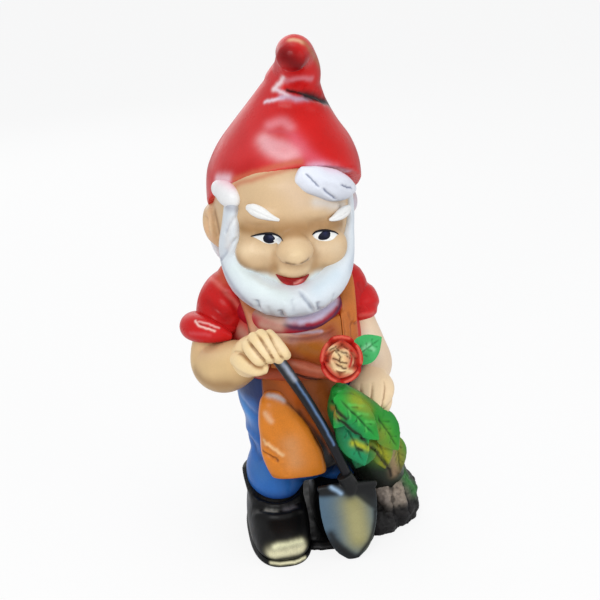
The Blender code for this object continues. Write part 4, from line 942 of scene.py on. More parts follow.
RIGHT_NOSTRIL_SHADOW = (112, 78, 42)
LEFT_NOSTRIL_SHADOW = (118, 84, 48)
UPPER_LIP = (232, 204, 162)
EAR_RIM_HIGHLIGHT = (232, 182, 140)
EAR_SHADE = (146, 110, 84)
LEFT_EAR_HAZE = (206, 198, 210)
SIDEBURN_EDGE = (240, 238, 232)
BEARD_EDGE = (226, 236, 236)
FORELOCK_EDGE = (224, 214, 204)
CAP_EDGE = (198, 116, 84)
head.coat(SKIN)
# Painted highlights on the nose, the cheeks and the forehead.
head.spray(NOSE_HIGHLIGHT, [(-16, -84, 254)], 8, 0.8)
head.spray(RIGHT_CHEEK_HIGHLIGHT, [(-51, -57.5, 252), (-42, -60.3, 251.5), (-34, -63, 251.5)], 5.5, 0.85)
head.spray(LEFT_CHEEK_HIGHLIGHT, [(4, -62, 250), (16, -58, 248)], 7, 0.7)
head.spray(FOREHEAD_HIGHLIGHT, [(-16, -60, 298), (-8, -61, 288)], 9, 0.5)
# Painted shade under the brow, on the bridge of the nose, under the cheeks, in the folds beside the nose,
# under the nose and in the nostrils.
head.spray(
    UNDER_BROW_SHADE,
    [
        (-52, -51, 266),
        (-38, -59.4, 266),
        (-25.3, -65, 267),
        (-10.4, -65.3, 266.6),
        (6, -58.5, 265.5),
        (25, -42, 261),
    ],
    5,
    0.95,
)
head.spray(
    SOFT_SHADE_BROWN,
    [(-48, -55, 271), (-32, -62, 271), (-17.7, -65.4, 270), (-2.3, -62, 268.3), (18.4, -49.5, 265)],
    6,
    0.6,
)
head.spray(NOSE_BRIDGE_SHADE, [(-22, -66, 264), (-15, -67.5, 260), (-8, -66, 263)], 4.4, 0.6)
head.spray(
    RIGHT_JOWL_SHADE,
    [(-58, -52, 243), (-53.1, -56.5, 238.6), (-44.5, -58, 235), (-35.8, -61.2, 235), (-30.6, -63.5, 238)],
    4.6,
    0.9,
)
head.spray(LEFT_JOWL_SHADE, [(-1, -62.5, 235), (8.3, -57, 231.4), (18, -48, 232), (25, -42, 240)], 4.4, 0.85)
head.spray(SOFT_SHADE_BROWN, [(-31, -66, 250), (-31, -64.5, 244), (-31, -63.6, 237)], 3, 0.45)
head.spray(LEFT_NOSE_FOLD_SHADE, [(-1, -66, 252), (0.6, -62.5, 244), (0.7, -61.9, 237)], 3, 0.6)
head.spray(UNDER_NOSE_SHADE, [(-26, -74, 244), (-16, -77, 241.4), (-6, -74, 243.6)], 2.8, 0.85)
head.spray(RIGHT_NOSTRIL_SHADOW, [(-23.4, -80.7, 246.4), (-20.8, -82.5, 246), (-18.4, -83, 245.4)], 1.6, 0.85)
head.spray(LEFT_NOSTRIL_SHADOW, [(-12.6, -83, 246.2), (-10, -82, 247), (-7.8, -80.6, 247.6)], 1.5, 0.8)
head.spray(UPPER_LIP, [(-26, -67.2, 236.4), (-18.7, -69.9, 235.2), (-8, -67.8, 235)], 3, 0.6)
# A painted highlight on the rim of the ear and painted shade inside it.
head.spray(EAR_RIM_HIGHLIGHT, [(-76, -6, 264), (-77, -4, 250)], 5, 0.5)
head.spray(EAR_SHADE, [(-69.5, -11, 268), (-68.4, -15, 262), (-67.6, -15, 253)], 4, 0.7)
head.spray(LEFT_EAR_HAZE, [(39.7, -7.7, 267.6), (42, -2.3, 262.6), (41, 0, 270), (40, 4, 276)], 8, 0.95)
head.spray(SIDEBURN_EDGE, [(-60, -42, 268), (-60, -46, 252), (-57.6, -50, 240), (-52, -55, 233)], 3, 0.9)
head.spray(
    BEARD_EDGE,
    [
        (-48.8, -55.2, 232.6), (-44.4, -55, 230.6), (-36.7, -59.5, 229), (-31.4, -62, 227),
        (-28, -61.6, 221), (-17.7, -61, 216.5), (-8.6, -61.1, 219), (-3, -61.7, 225.5),
        (3.1, -58.9, 227.5), (15.9, -45.5, 225.2),
    ],
    3.6,
    0.97,
)
head.spray(FORELOCK_EDGE, [(3.4, -59.4, 285), (18.8, -50.6, 278), (30, -37, 273)], 4.6, 0.85)
head.spray(
    CAP_EDGE,
    [(-54, -43, 299), (-40.3, -52, 305), (-24.9, -55.5, 310), (-10.6, -53, 312), (2, -53, 311)],
    2.6,
    0.7,
)
head_piece = head.finish(skin_lacquer, "skin_paint", "head")


# Eyes and mouth: thin raised shapes of paint, printed on the face. Each eye is a white almond with a navy
# pupil and a black line along the lid, and the mouth is a red lower lip.
eye_white_lacquer = lacquer("Eye white lacquer", dull=0.22, gloss=0.5, cover=0.04)
navy_lacquer = lacquer("Pupil lacquer", dull=0.3, gloss=0.0, cover=0.04, shine=0.15)
lip_lacquer = lacquer("Lip lacquer", dull=0.24, gloss=0.14, cover=0.08, shine=0.14)
face = BVHTree.FromObject(head_piece, bpy.context.evaluated_depsgraph_get())


def face_y(x, z):
    """The front of the face at this place."""
    hit = face.ray_cast(Vector((x * MM, -0.3, z * MM)), Vector((0, 1, 0)))[0]
    return hit.y / MM


class Print(Moulding):
    """A thin raised shape that follows the face."""

    def almond(self, outline, lift):
        """Rings inside an outline of (x, z) points, raised by lift in the middle and closed behind."""
        edge = flow(outline, 6, loop=True)
        middle = edge.mean(0)
        rings = []
        profile = ((0.3, -1.6), (1, -1.2), (1, 0.1), (0.94, 0.4), (0.8, 0.7), (0.5, 0.95), (0.15, 1))
        for share, rise in profile:
            is_end = (share, rise) in (profile[0], profile[-1])
            ring = bmesh.ops.create_circle(self.bm, cap_ends=is_end, segments=len(edge), radius=1)["verts"]
            for vert, at in zip(ring, middle + (edge - middle) * share):
                vert.co = (at[0], face_y(*at) - rise * (lift if rise > 0 else 1), at[1])
            rings.append(ring)
        self.bridge(rings)

    def line(self, path, half, lift=0.1):
        """A fine line along (x, z) points on the face, thin at its ends."""
        path = flow(path, 4)
        rows = []
        for k, (x, z) in enumerate(path):
            swell = math.sin(math.pi * k / (len(path) - 1)) ** 0.5
            rows.append((x, face_y(x, z) - lift, z, half * (0.25 + 0.75 * swell)))
        self.loft(rows, sides=10, steps=2, side=(0, 1, 0.1))

    def keep(self):
        """Takes the shape as it is, with no melting."""
        bmesh.ops.recalc_face_normals(self.bm, faces=self.bm.faces)
        self.mesh = bpy.data.meshes.new(self.name)
        self.bm.to_mesh(self.mesh)
        self.bm.free()
        self.co = np.array([v.co for v in self.mesh.vertices])
        self.paint = np.ones((len(self.co), 4))
        self.settle()


eyes = (
    (
        "right",
        [
            (-46, 261.9), (-42.7, 262.9), (-39.3, 263.7), (-36.2, 264.3), (-33.1, 264.5), (-30.5, 264.3),
            (-28.5, 263.7), (-26.3, 262.6), (-24.8, 261.4), (-26.6, 259.2), (-28.9, 257.7), (-31.8, 256.7),
            (-34.4, 256.7), (-37.5, 257.6), (-39.7, 258.8), (-42.9, 260.4),
        ],
        [
            (-46.6, 261.6), (-42.7, 263), (-39.3, 264), (-36.2, 264.6), (-33, 264.8), (-30.5, 264.5),
            (-28.5, 264), (-26.3, 262.8), (-24.4, 261.2),
        ],
        (-33.7, 260.8, 4.9, 3.7),
    ),
    (
        "left",
        [
            (-0.8, 260.7), (0.7, 261.8), (2.4, 262.5), (5.2, 262.4), (8.6, 261.7), (11.8, 260.7),
            (15, 259.4), (17.3, 258.4), (19.3, 257), (17.6, 255.9), (14.4, 254.3), (11, 253.7), (7.6, 254),
            (4.8, 254.8), (2.5, 256.2), (0.2, 258.4),
        ],
        [
            (-1.1, 261), (0.6, 262.2), (2.4, 262.7), (5.3, 262.6), (8.6, 262), (11.8, 261), (15.1, 259.6),
            (17.4, 258.6), (19.9, 256.8),
        ],
        (8.4, 258.2, 5.6, 3.5),
    ),
)
EYE_WHITE = (244, 244, 240)
LID_SHADE = (186, 196, 210)
PUPIL_NAVY = (12, 16, 34)
PUPIL_BLUE = (24, 34, 80)
LASH_BLACK = (16, 14, 22)
for side, outline, lid, (x, z, wide, high) in eyes:
    white = Print(f"eye_white_{side}")
    white.almond(outline, 0.7)
    white.keep()
    white.coat(EYE_WHITE)
    white.spray(LID_SHADE, [(a, face_y(a, b), b - 0.6) for a, b in lid], 1.3, 0.6)
    white.finish(eye_white_lacquer, "white_paint")
    pupil = Print(f"eye_pupil_{side}")
    clock = np.linspace(0, 2 * math.pi, 14, endpoint=False)
    ring = [(x + wide * math.cos(a), z + high * math.sin(a)) for a in clock]
    pupil.almond(ring, 1.25)
    pupil.keep()
    pupil.coat(PUPIL_NAVY)
    pupil.spray(PUPIL_BLUE, [(x + 1.5, face_y(x, z) - 1, z + 2)], 2, 0.7)
    pupil.finish(navy_lacquer, "black_paint")
    lash = Print(f"eye_lash_{side}")
    lash.line(lid, 0.9, 0.5)
    lash.keep()
    lash.coat(LASH_BLACK)
    lash.finish(navy_lacquer, "black_paint")

lip = Print("lip")
lip.almond(
    [
        (-30.4, 232.6), (-27.1, 231.6), (-23.4, 230.4), (-18.5, 229.4), (-13.7, 229.0), (-9.4, 229.2),
        (-5.0, 230.2), (-6.8, 226.6), (-9.8, 223.6), (-14.3, 221.9), (-19.7, 222.0), (-25.0, 224.6),
        (-28.4, 228.6),
    ],
    2.6,
)
lip.keep()
LIP_RED = (148, 12, 12)
LIP_HIGHLIGHT = (206, 40, 38)
LIP_SHINE = (236, 150, 140)
lip.coat(LIP_RED)
# Painted highlights on the lip.
lip.spray(
    LIP_HIGHLIGHT,
    [(-24, face_y(-24, 226), 226.2), (-16, face_y(-16, 224), 224), (-10, face_y(-10, 226), 225.6)],
    1.8,
    0.7,
)
lip.spray(LIP_SHINE, [(-17, face_y(-17, 225) - 2, 225), (-11, face_y(-11, 227) - 2, 226.8)], 0.8, 0.8)
lip.finish(lip_lacquer, "red_paint")


# Beard, hair and brows: white mouldings set round the face. The beard is a full collar beard with combed
# locks at its lower edge, the back hair fills in under the cap, and two forelocks and the brows are curls.
white_lacquer = lacquer("White lacquer", dull=0.36, gloss=0.12, cover=0.05, shine=0.2)
WHITE = (226, 234, 240)
SHADE = (166, 176, 192)
beard = Moulding("beard")
beard.loft(
    [
        (-57.6, -39, 285, 12, 5.6),
        (-59, -36, 264, 15.6, 7.6),
        (-59.6, -30, 242, 18, 10.2),
        (-50.5, -41, 223.6, 19.6, 14.4),
        (-34.5, -51.4, 213, 20, 15),
        (NECK_X, -54.1, 210, 20, 15.2),
        (0.5, -51.4, 213, 20, 15),
        (15.5, -41, 223.6, 19.6, 14.4),
        (28, -20, 243, 17.4, 8),
        (34.4, -9, 264, 14, 5.2),
        (35, -8, 284, 9, 4),
    ],
    side=(0, -1, 0),
    sides=48,
    steps=8,
)
beard.fuse(0.8, 8)
for strand, width, depth in (
    ([(-14.7, -68.1, 220.8), (-11, -72.1, 214.3), (-7.1, -72, 207.8), (-3.6, -66, 201)], 2.0, -2.4),
    ([(-46.4, -67.1, 215.6), (-45.8, -66.6, 210.5), (-43, -62, 204)], 2.1, -2.6),
    ([(-29.5, -72.9, 208), (-27.6, -67, 201), (-26, -60, 196)], 2.1, -2.8),
    ([(-19.9, -71.8, 217), (-20, -73.3, 211), (-19.5, -70, 202)], 2.2, -0.7),
    ([(-1.3, -72.8, 211.5), (-0.3, -69, 204.4), (1, -62, 199)], 1.9, -2.2),
    ([(12, -64, 216), (10, -64, 210), (9, -57, 203)], 1.8, -0.7),
    ([(-38, -69, 212), (-36, -67, 206), (-33, -60, 199)], 2.2, -0.6),
    ([(-54.9, -49.2, 277.7), (-63.2, -48.2, 268), (-65.4, -44.6, 261.9)], 1.8, -1.6),
    ([(-55.6, -49.3, 260.7), (-62.1, -48.9, 253.2), (-66.6, -40.9, 244.7)], 1.8, -1.5),
    ([(-63, -47.5, 249.7), (-68.9, -32.9, 235.7)], 1.8, -1.2),
    ([(38, -22, 268), (38, -24, 254), (36, -30, 242)], 1.8, -0.8),
    ([(-52, -60, 232), (-40, -67, 225), (-28, -71, 222)], 3, 0.8),
    ([(-25, -72, 215), (-24, -72, 207), (-22, -65, 199)], 3, 0.8),
    ([(-8, -73, 215), (-4, -71, 208), (-1, -64, 201)], 3, 0.8),
    ([(-42, -67, 213), (-40, -65, 206), (-37, -58, 199)], 3, 0.7),
):
    beard.press(strand, width, depth)
beard.settle()
BEARD_MINT = (226, 240, 238)
BEARD_BLUE = (206, 226, 238)
BEARD_FAR_SIDE_SHADE = (194, 206, 220)
JAW_SHADE_GREY = (150, 156, 174)
LOCK_GROOVE_SHADE = (160, 168, 186)
SIDEBURN_WHITE = (234, 232, 230)
UNDER_TUFT_SHADE = (168, 168, 178)
beard.coat(WHITE)
beard.spray(BEARD_MINT, [(-58, -50, 234), (-44, -64, 224), (-26, -71, 218)], 8, 0.7)
beard.spray(BEARD_BLUE, [(0, -70, 222), (14, -60, 226)], 7, 0.6)
# Painted shade on the far side, underneath, along the jaw, in the grooves between the locks and under the
# forelock.
beard.spray(BEARD_FAR_SIDE_SHADE, [(22, -48, 228), (30, -34, 238), (36, -22, 252)], 6, 0.75)
beard.facing_light_and_shade(SHADE, (-0.25, -0.2, -1), 0.65, 1.5)
beard.spray(JAW_SHADE_GREY, [(-70, -30, 240), (-67, -45, 232), (-60, -57, 219), (-51, -62, 209)], 3, 0.6)
beard.shade_and_wash_hollows(LOCK_GROOVE_SHADE, 0.7, 0.7)
beard.spray(SIDEBURN_WHITE, [(-58, -50, 274), (-62, -48, 262), (-63, -46, 250)], 4, 0.6)
beard.spray(UNDER_TUFT_SHADE, [(-63, -45, 284), (-54, -51, 282)], 3.6, 0.75)
beard.finish(white_lacquer, "white_paint", "beard")

hair = Moulding("hair_back")
hair.loft(
    [
        (NECK_X, 13.9, 211, 40, 41),
        (NECK_X, 10.1, 229, 54, 59.4),
        (NECK_X, 8.2, 248, 58, 64),
        (NECK_X, 7, 264, 57, 62.4),
        (NECK_X, 5, 277, 54.6, 57),
        (NECK_X, 3, 286, 50, 50),
    ],
    level=True,
    sides=72,
    dome=0.4,
)
hair.trim((0, 10, 0), (0, -1, 0))
hair.fuse(1.2, 14)
for k in range(15):
    a = math.radians(14 + k * 10.9 + 3 * math.sin(k * 2.3))
    sway = 0.09 * math.sin(k * 1.7)
    lock = []
    for z, bend, out in (
        (280 - 5 * (k % 3), 0, 57),
        (256, sway, 64),
        (234, -0.5 * sway, 60),
        (214 + 4 * (k % 2), 0.04, 48),
    ):
        lock.append((NECK_X + (out - 6) * math.cos(a + bend), 8 + out * math.sin(a + bend), z))
    hair.press(lock, 2.8, -1.4 - 0.5 * (k % 3))
hair.settle()
HAIR_GROOVE_SHADE = (140, 150, 172)
hair.coat(WHITE)
# Painted shade towards the nape and in the grooves between the locks.
hair.fade(SHADE, (0, 0, 232), (0, 0, 210), 0.6)
hair.shade_and_wash_hollows(HAIR_GROOVE_SHADE, 0.9, 0.6)
hair.finish(white_lacquer, "white_paint", "hair_back")

forelock_right = Moulding("hair_tuft_right")
outward = Vector((-0.84, -0.54, 0))
downward = Vector((0.5, -0.77, -0.4)).normalized()
turned = Matrix((downward, outward, downward.cross(outward))).transposed()
forelock_right.ball((-60.6, -38.5, 290.6), (13.6, 7.6, 9.4), turned)
forelock_right.ball((-65.5, -31.5, 293), (8, 6, 7), turned)
forelock_right.fuse(0.7, 8)
RIGHT_LOCK_WHITE = (240, 240, 240)
RIGHT_LOCK_PINK = (238, 196, 206)
RIGHT_LOCK_SHADE = (182, 182, 190)
forelock_right.coat(RIGHT_LOCK_WHITE)
forelock_right.spray(RIGHT_LOCK_PINK, [(-64, -36, 307), (-54, -44, 302)], 5, 0.8)
forelock_right.facing_light_and_shade(RIGHT_LOCK_SHADE, (0, 0, -1), 0.7)
forelock_right.finish(white_lacquer, "white_paint", "hair_tuft_right")

forelock_left = Moulding("hair_tuft_left")
forelock_left.loft(
    [
        (-8, -57.6, 305.6, 7.6, 4.6),
        (-1, -58, 302.4, 10.4, 6.8),
        (8, -54.6, 298.6, 11.6, 8),
        (18, -48.4, 293.4, 12.2, 8.4),
        (28, -38, 288, 9.6, 7),
        (35, -26, 283.6, 5, 5),
    ],
    side=(0, 0, 1),
    sides=40,
)
forelock_left.fuse(0.7, 5)
for strand in (
    [(-4.8, -64, 310), (0, -64, 304), (6.5, -62, 296)],
    [(7.4, -62, 297), (14, -57, 289.5), (20, -52, 283)],
    [(20, -55, 296), (27, -47, 291), (33, -38, 287)],
):
    forelock_left.press(strand, 1.1, -1.5, 1.4)
forelock_left.press([(6, -64, 305), (17, -57, 298), (27, -46, 291)], 3, 0.9)
forelock_left.settle()
LEFT_LOCK_WHITE = (232, 236, 246)
LEFT_LOCK_PINK = (236, 206, 226)
LEFT_LOCK_SHADE = (150, 154, 166)
STRAND_GROOVE_SHADE = (130, 138, 166)
forelock_left.coat(LEFT_LOCK_WHITE)
forelock_left.spray(LEFT_LOCK_PINK, [(2, -56, 308), (16, -52, 304), (30, -40, 298)], 4, 0.7)
# Painted shade underneath and in the grooves between the strands.
forelock_left.facing_light_and_shade(LEFT_LOCK_SHADE, (0, -0.2, -1), 0.8)
forelock_left.shade_and_wash_hollows(STRAND_GROOVE_SHADE, 0.9, 0.4)
forelock_left.finish(white_lacquer, "white_paint", "hair_tuft_left")

brows = {
    "right": [
        (-25.5, -64.5, 275, 1.0, 1.2),
        (-31, -63.5, 277.2, 2.6, 2.6),
        (-38, -60.8, 280.4, 3.6, 4.6),
        (-43.8, -57.6, 283, 3.4, 4.4),
        (-47.6, -54.8, 284, 1.8, 2.4),
    ],
    "left": [
        (13.4, -57, 269.4, 1.0, 1.2),
        (17.4, -54.4, 269.6, 2.4, 2.6),
        (22, -51, 270.6, 3.4, 4),
        (26.6, -47, 271.8, 3.4, 4.2),
        (30.6, -42.4, 272.6, 2.2, 3),
    ],
}
BROW_WHITE = (240, 240, 238)
BROW_SHADE = (176, 172, 176)
for side, rows in brows.items():
    brow = Moulding(f"eyebrow_{side}")
    brow.loft(rows, side=(0, -1, 0), sides=28)
    brow.fuse(0.45, 4)
    middle = [(x, y - a, z) for x, y, z, a, b in rows]
    brow.press(middle, 0.7, -0.5)
    brow.settle()
    brow.coat(BROW_WHITE)
    brow.facing_light_and_shade(BROW_SHADE, (0, 0, -1), 0.7)
    brow.finish(white_lacquer, "white_paint", f"eyebrow_{side}")


# Cap: a tall red cap, moulded like soft cloth and pushed over the head. Its point folds over to the front,
# with a deep crease under the fold. It is sprayed red, with painted light on one side and painted shade on
# the other, a large pale painted highlight in front, painted highlights round the fold, and painted black
# shadow in the crease and under the tip.
cap = Moulding("cap")
cap.loft(
    [
        (-13.4, -4, 246, 59.6, 57),
        (-13.4, -2.7, 268, 60.8, 59.8),
        (-13.4, -1.2, 282, 61, 61.2),
        (-12.9, 0, 298, 60, 60),
        (-11.9, 1.5, 309, 56.6, 56.8),
        (-10.9, 3, 320, 50.9, 51),
        (-10, 4.7, 331, 42.6, 43.6),
        (-8.2, 6, 342, 34.8, 36),
        (-6, 6.5, 352, 28.4, 29.6),
        (-3.4, 5.2, 362, 23, 24),
        (-0.6, 2, 371, 19, 19.6),
    ],
    level=True,
    sides=72,
    steps=8,
    dome=(0, 0.3),
)
cap.trim((0, 0, 278.3), (0.051, -0.523, -0.851))
cap.loft(
    [
        (-2.6, 5, 360, 22, 22),
        (1, -1.5, 372.5, 18.8, 18.6),
        (-0.4, -12.5, 385.2, 15.2, 15.4),
        (-3, -22.5, 390, 13.8, 13.8),
        (-6, -32, 389, 11.8, 11.6),
    ],
    sides=56,
    steps=8,
    dome=(0.2, 0.8),
)
cap.fuse(0.9, 18)
cap.press(
    [
        (-11.6, -16, 363.9),
        (-4.8, -15.8, 361.8),
        (2.8, -14.6, 357.9),
        (10.7, -11.4, 353.6),
        (18, -4.5, 348.6),
        (25, 5, 344.6),
    ],
    3.6,
    -3.8,
)
cap.press(
    [
        (-25.6, -13.7, 353.1),
        (-19.1, -17.8, 354.2),
        (-11, -20.8, 354.8),
        (-2.9, -21.1, 352.6),
        (8, -18, 347),
        (18, -10, 342),
    ],
    4,
    1.3,
)
cap.press([(-9.1, -16.2, 368.3), (0.8, -22.2, 370.2), (11.2, -17.7, 368.6)], 3, 0.8)
cap.settle()
CAP_RED = (208, 28, 27)
LIT_SIDE_PINK = (202, 72, 76)
SHADED_SIDE_MAROON = (140, 26, 30)
FRONT_RED = (200, 20, 18)
TEMPLE_RED = (184, 24, 24)
HIGHLIGHT_HALO = (222, 84, 88)
HIGHLIGHT_PINK = (243, 178, 182)
HIGHLIGHT_MIDDLE = (241, 172, 178)
UPPER_HIGHLIGHT = (230, 136, 144)
HIGHLIGHT_LINE = (212, 88, 98)
LOWER_HIGHLIGHT = (230, 100, 120)
BRIM_LILAC = (232, 190, 214)
TEMPLE_PINK = (240, 205, 214)
BRIM_GLOW = (206, 108, 78)
TIP_UNDERSIDE_SHADE = (116, 8, 13)
TIP_SHINE = (226, 176, 140)
TIP_BRONZE = (170, 106, 66)
CREASE_HIGHLIGHT_WHITE = (236, 214, 226)
CREASE_HIGHLIGHT_LILAC = (206, 178, 202)
CREASE_UPPER_HIGHLIGHT = (238, 216, 226)
CREASE_SHINE = (246, 226, 228)
FOLD_HIGHLIGHT_PINK = (214, 130, 140)
CREASE_SHADOW_BLACK = (24, 22, 26)
CREASE_MAUVE = (140, 120, 134)
cap.coat(CAP_RED)
# Painted light on the side towards the lamp and painted shade on the side away from it.
cap.facing_light_and_shade(LIT_SIDE_PINK, (-1, -0.1, 0.1), 0.75, 1.6)
cap.facing_light_and_shade(SHADED_SIDE_MAROON, (1, 0.25, 0), 0.6, 3)
cap.spray(FRONT_RED, [(10.6, -34.7, 329.5), (22.6, -37.4, 317.6), (34.6, -31.9, 307.4)], 12, 0.6)
cap.spray(TEMPLE_RED, [(-60.5, -29.5, 306), (-51.6, -40, 307), (-44, -43, 311)], 8, 0.6)
# A large painted highlight on the front of the cap.
cap.spray(HIGHLIGHT_HALO, [(-30, -37, 328), (-10, -44, 326)], 13, 0.5)
cap.spray(
    HIGHLIGHT_PINK, [(-30.4, -35, 328.8), (-25, -43.2, 323), (-16.6, -48.4, 319), (-9, -47.1, 321.1)], 6, 0.92
)
cap.spray(HIGHLIGHT_MIDDLE, [(-27, -39.5, 326.4), (-20, -42, 326), (-13, -44.3, 324.5)], 5.5, 0.8)
cap.spray(UPPER_HIGHLIGHT, [(-24.4, -29, 338.7), (-15.4, -30.3, 340.6), (-10, -33.8, 337.1)], 4.6, 0.85)
cap.spray(HIGHLIGHT_LINE, [(-26, -32.6, 334.4), (-18, -35, 334.6), (-8, -38, 331.5)], 1.8, 0.6)
cap.spray(LOWER_HIGHLIGHT, [(-7.6, -40.8, 328.6), (0.6, -47.9, 318.2), (9, -49.8, 311.1)], 6, 0.6)
cap.spray(BRIM_LILAC, [(0, -51, 310.4), (8, -50, 309), (20, -42, 303.6), (32, -29, 296)], 3.4, 0.8)
cap.spray(TEMPLE_PINK, [(-67, -26, 299.5), (-59, -36, 301.5)], 4.4, 0.85)
cap.spray(
    BRIM_GLOW,
    [(-54, -40, 302), (-37.5, -48.5, 308.5), (-17.3, -51.5, 313.6), (-6, -51.5, 314.6)],
    2.6,
    0.75,
)
# Painted shadow under the folded tip, and a painted highlight on its top.
cap.spray(TIP_UNDERSIDE_SHADE, [(-12.1, -38.8, 391.9), (-6.8, -40.8, 386.8), (-0.6, -37, 382)], 9, 0.97)
cap.spray(TIP_SHINE, [(-6.3, -31.6, 401.3), (-1.2, -31.8, 400.9), (2.4, -32, 399.2)], 2.4, 0.9)
cap.spray(TIP_BRONZE, [(5, -30, 398), (8.4, -29.4, 392.5), (13.4, -18.2, 385.1), (17, -8, 377)], 3.2, 0.65)
# Painted highlights beside and above the fold, and painted black shadow in the crease.
cap.spray(CREASE_HIGHLIGHT_WHITE, [(-25.6, -13.7, 353.1), (-19.1, -17.8, 354.6), (-12, -20.4, 356.4)], 1.5, 0.95)
cap.spray(CREASE_HIGHLIGHT_LILAC, [(-13, -20, 357), (-8, -20.5, 356.8), (-2.9, -21.1, 354.8), (4, -18, 352)], 2.6, 0.9)
cap.spray(CREASE_UPPER_HIGHLIGHT, [(-17.5, -13.5, 362.4), (-12.9, -17.5, 360.4), (-8.9, -20, 358.5)], 1.6, 0.9)
cap.spray(CREASE_SHINE, [(-18.2, -13, 362.3), (-13.4, -14.1, 367), (-11.1, -15.3, 370.6)], 2.0, 0.92)
cap.spray(FOLD_HIGHLIGHT_PINK, [(-9.1, -16.2, 368.6), (0.8, -22.2, 370.2), (11.2, -17.7, 368.6)], 2.4, 0.75)
cap.spray(
    CREASE_SHADOW_BLACK,
    [(-8.8, -16.6, 361.5), (-1.2, -15.8, 358.7), (7.3, -13.6, 354.6), (15.8, -6.6, 349.6), (23, 3, 345.4)],
    1.6,
    0.97,
)
cap.spray(CREASE_SHADOW_BLACK, [(5, -14.4, 354.4), (10, -11, 351.4), (16, -6.4, 348), (24, 4, 344)], 4.2, 0.97)
cap.spray(CREASE_MAUVE, [(2, -17.4, 353), (8, -15.4, 350)], 1.8, 0.7)
cap.finish(red_lacquer, "red_paint", "cap")


# Arms: short red sleeves with a fat rolled cuff, then bare forearms. The right hand is closed on top of the
# spade's handle and the left hand lies open on the rose bush.
SHOULDER_GLOW = (208, 98, 72)
SLEEVE_DEEP = (178, 18, 20)
SLEEVE_SHINE = (230, 116, 106)
STRAP_SHADOW = (96, 62, 60)
LEFT_SLEEVE_DEEP = (176, 20, 22)
LEFT_SLEEVE_SHINE = (236, 110, 100)
SLEEVE_FOLD_SHADE = (136, 12, 16)
for side, rows, fold in (
    (
        "right",
        [
            (-42.9, -2, 195, 14, 16),
            (-58, -4, 198, 21, 22.5),
            (-66, -12, 194, 22, 23),
            (-71, -18, 186, 20.5, 20.5),
            (-72, -21, 178, 17, 18),
        ],
        [
            [(-70, -24, 214), (-62, -32, 202), (-56, -38, 186)],
            [(-84, -18, 204), (-74, -34, 196), (-62, -40, 186)],
        ],
    ),
    (
        "left",
        [
            (16, -2, 194, 14, 15),
            (27.6, -2, 198.6, 19, 19.5),
            (33.4, -5, 185.6, 19.6, 18),
            (37, -6.6, 177, 18, 17.6),
        ],
        [[(40, -18, 208), (44, -22, 196), (44, -24, 184)], [(52, -8, 196), (50, -18, 190), (44, -24, 184)]],
    ),
):
    sleeve = Moulding(f"sleeve_{side}")
    sleeve.loft(rows, side=(0, 1, 0), sides=48)
    if side == "right":
        sleeve.ball((-57, -5, 212), (15, 16, 14.5))
    sleeve.fuse(0.9, 10)
    for path in fold:
        sleeve.press(path, 4, -1.8)
        sleeve.press([(a, b, c - 8) for a, b, c in path], 4, 1.0)
    sleeve.settle()
    sleeve.coat(RED)
    if side == "right":
        sleeve.spray(SHOULDER_GLOW, [(-64, -5, 226), (-68.1, -8.9, 220.9), (-66.1, -19.5, 216)], 6, 0.75)
        sleeve.spray(
            SLEEVE_DEEP, [(-83.6, -26.9, 199.6), (-76.5, -33.6, 195.5), (-69.1, -35.3, 192)], 7, 0.45
        )
        sleeve.spray(
            SLEEVE_SHINE, [(-77.2, -8.1, 214.8), (-65.9, -27.7, 207.3), (-54.6, -31, 192.3)], 2, 0.75
        )
        sleeve.spray(
            STRAP_SHADOW,
            [(-62.6, -9, 224.6), (-61, -22.9, 215), (-55, -29.7, 203.4), (-50, -28.4, 192)],
            2.4,
            0.7,
        )
    else:
        sleeve.spray(LEFT_SLEEVE_DEEP, [(40, -22, 196), (50, -14, 184)], 8, 0.5)
        sleeve.spray(LEFT_SLEEVE_SHINE, [(44, -24, 172), (50, -20, 170)], 2.2, 0.6)
    # Painted shade in the folds.
    sleeve.shade_and_wash_hollows(SLEEVE_FOLD_SHADE, 0.6, 0.8)
    sleeve.finish(red_lacquer, "red_paint", f"sleeve_{side}")

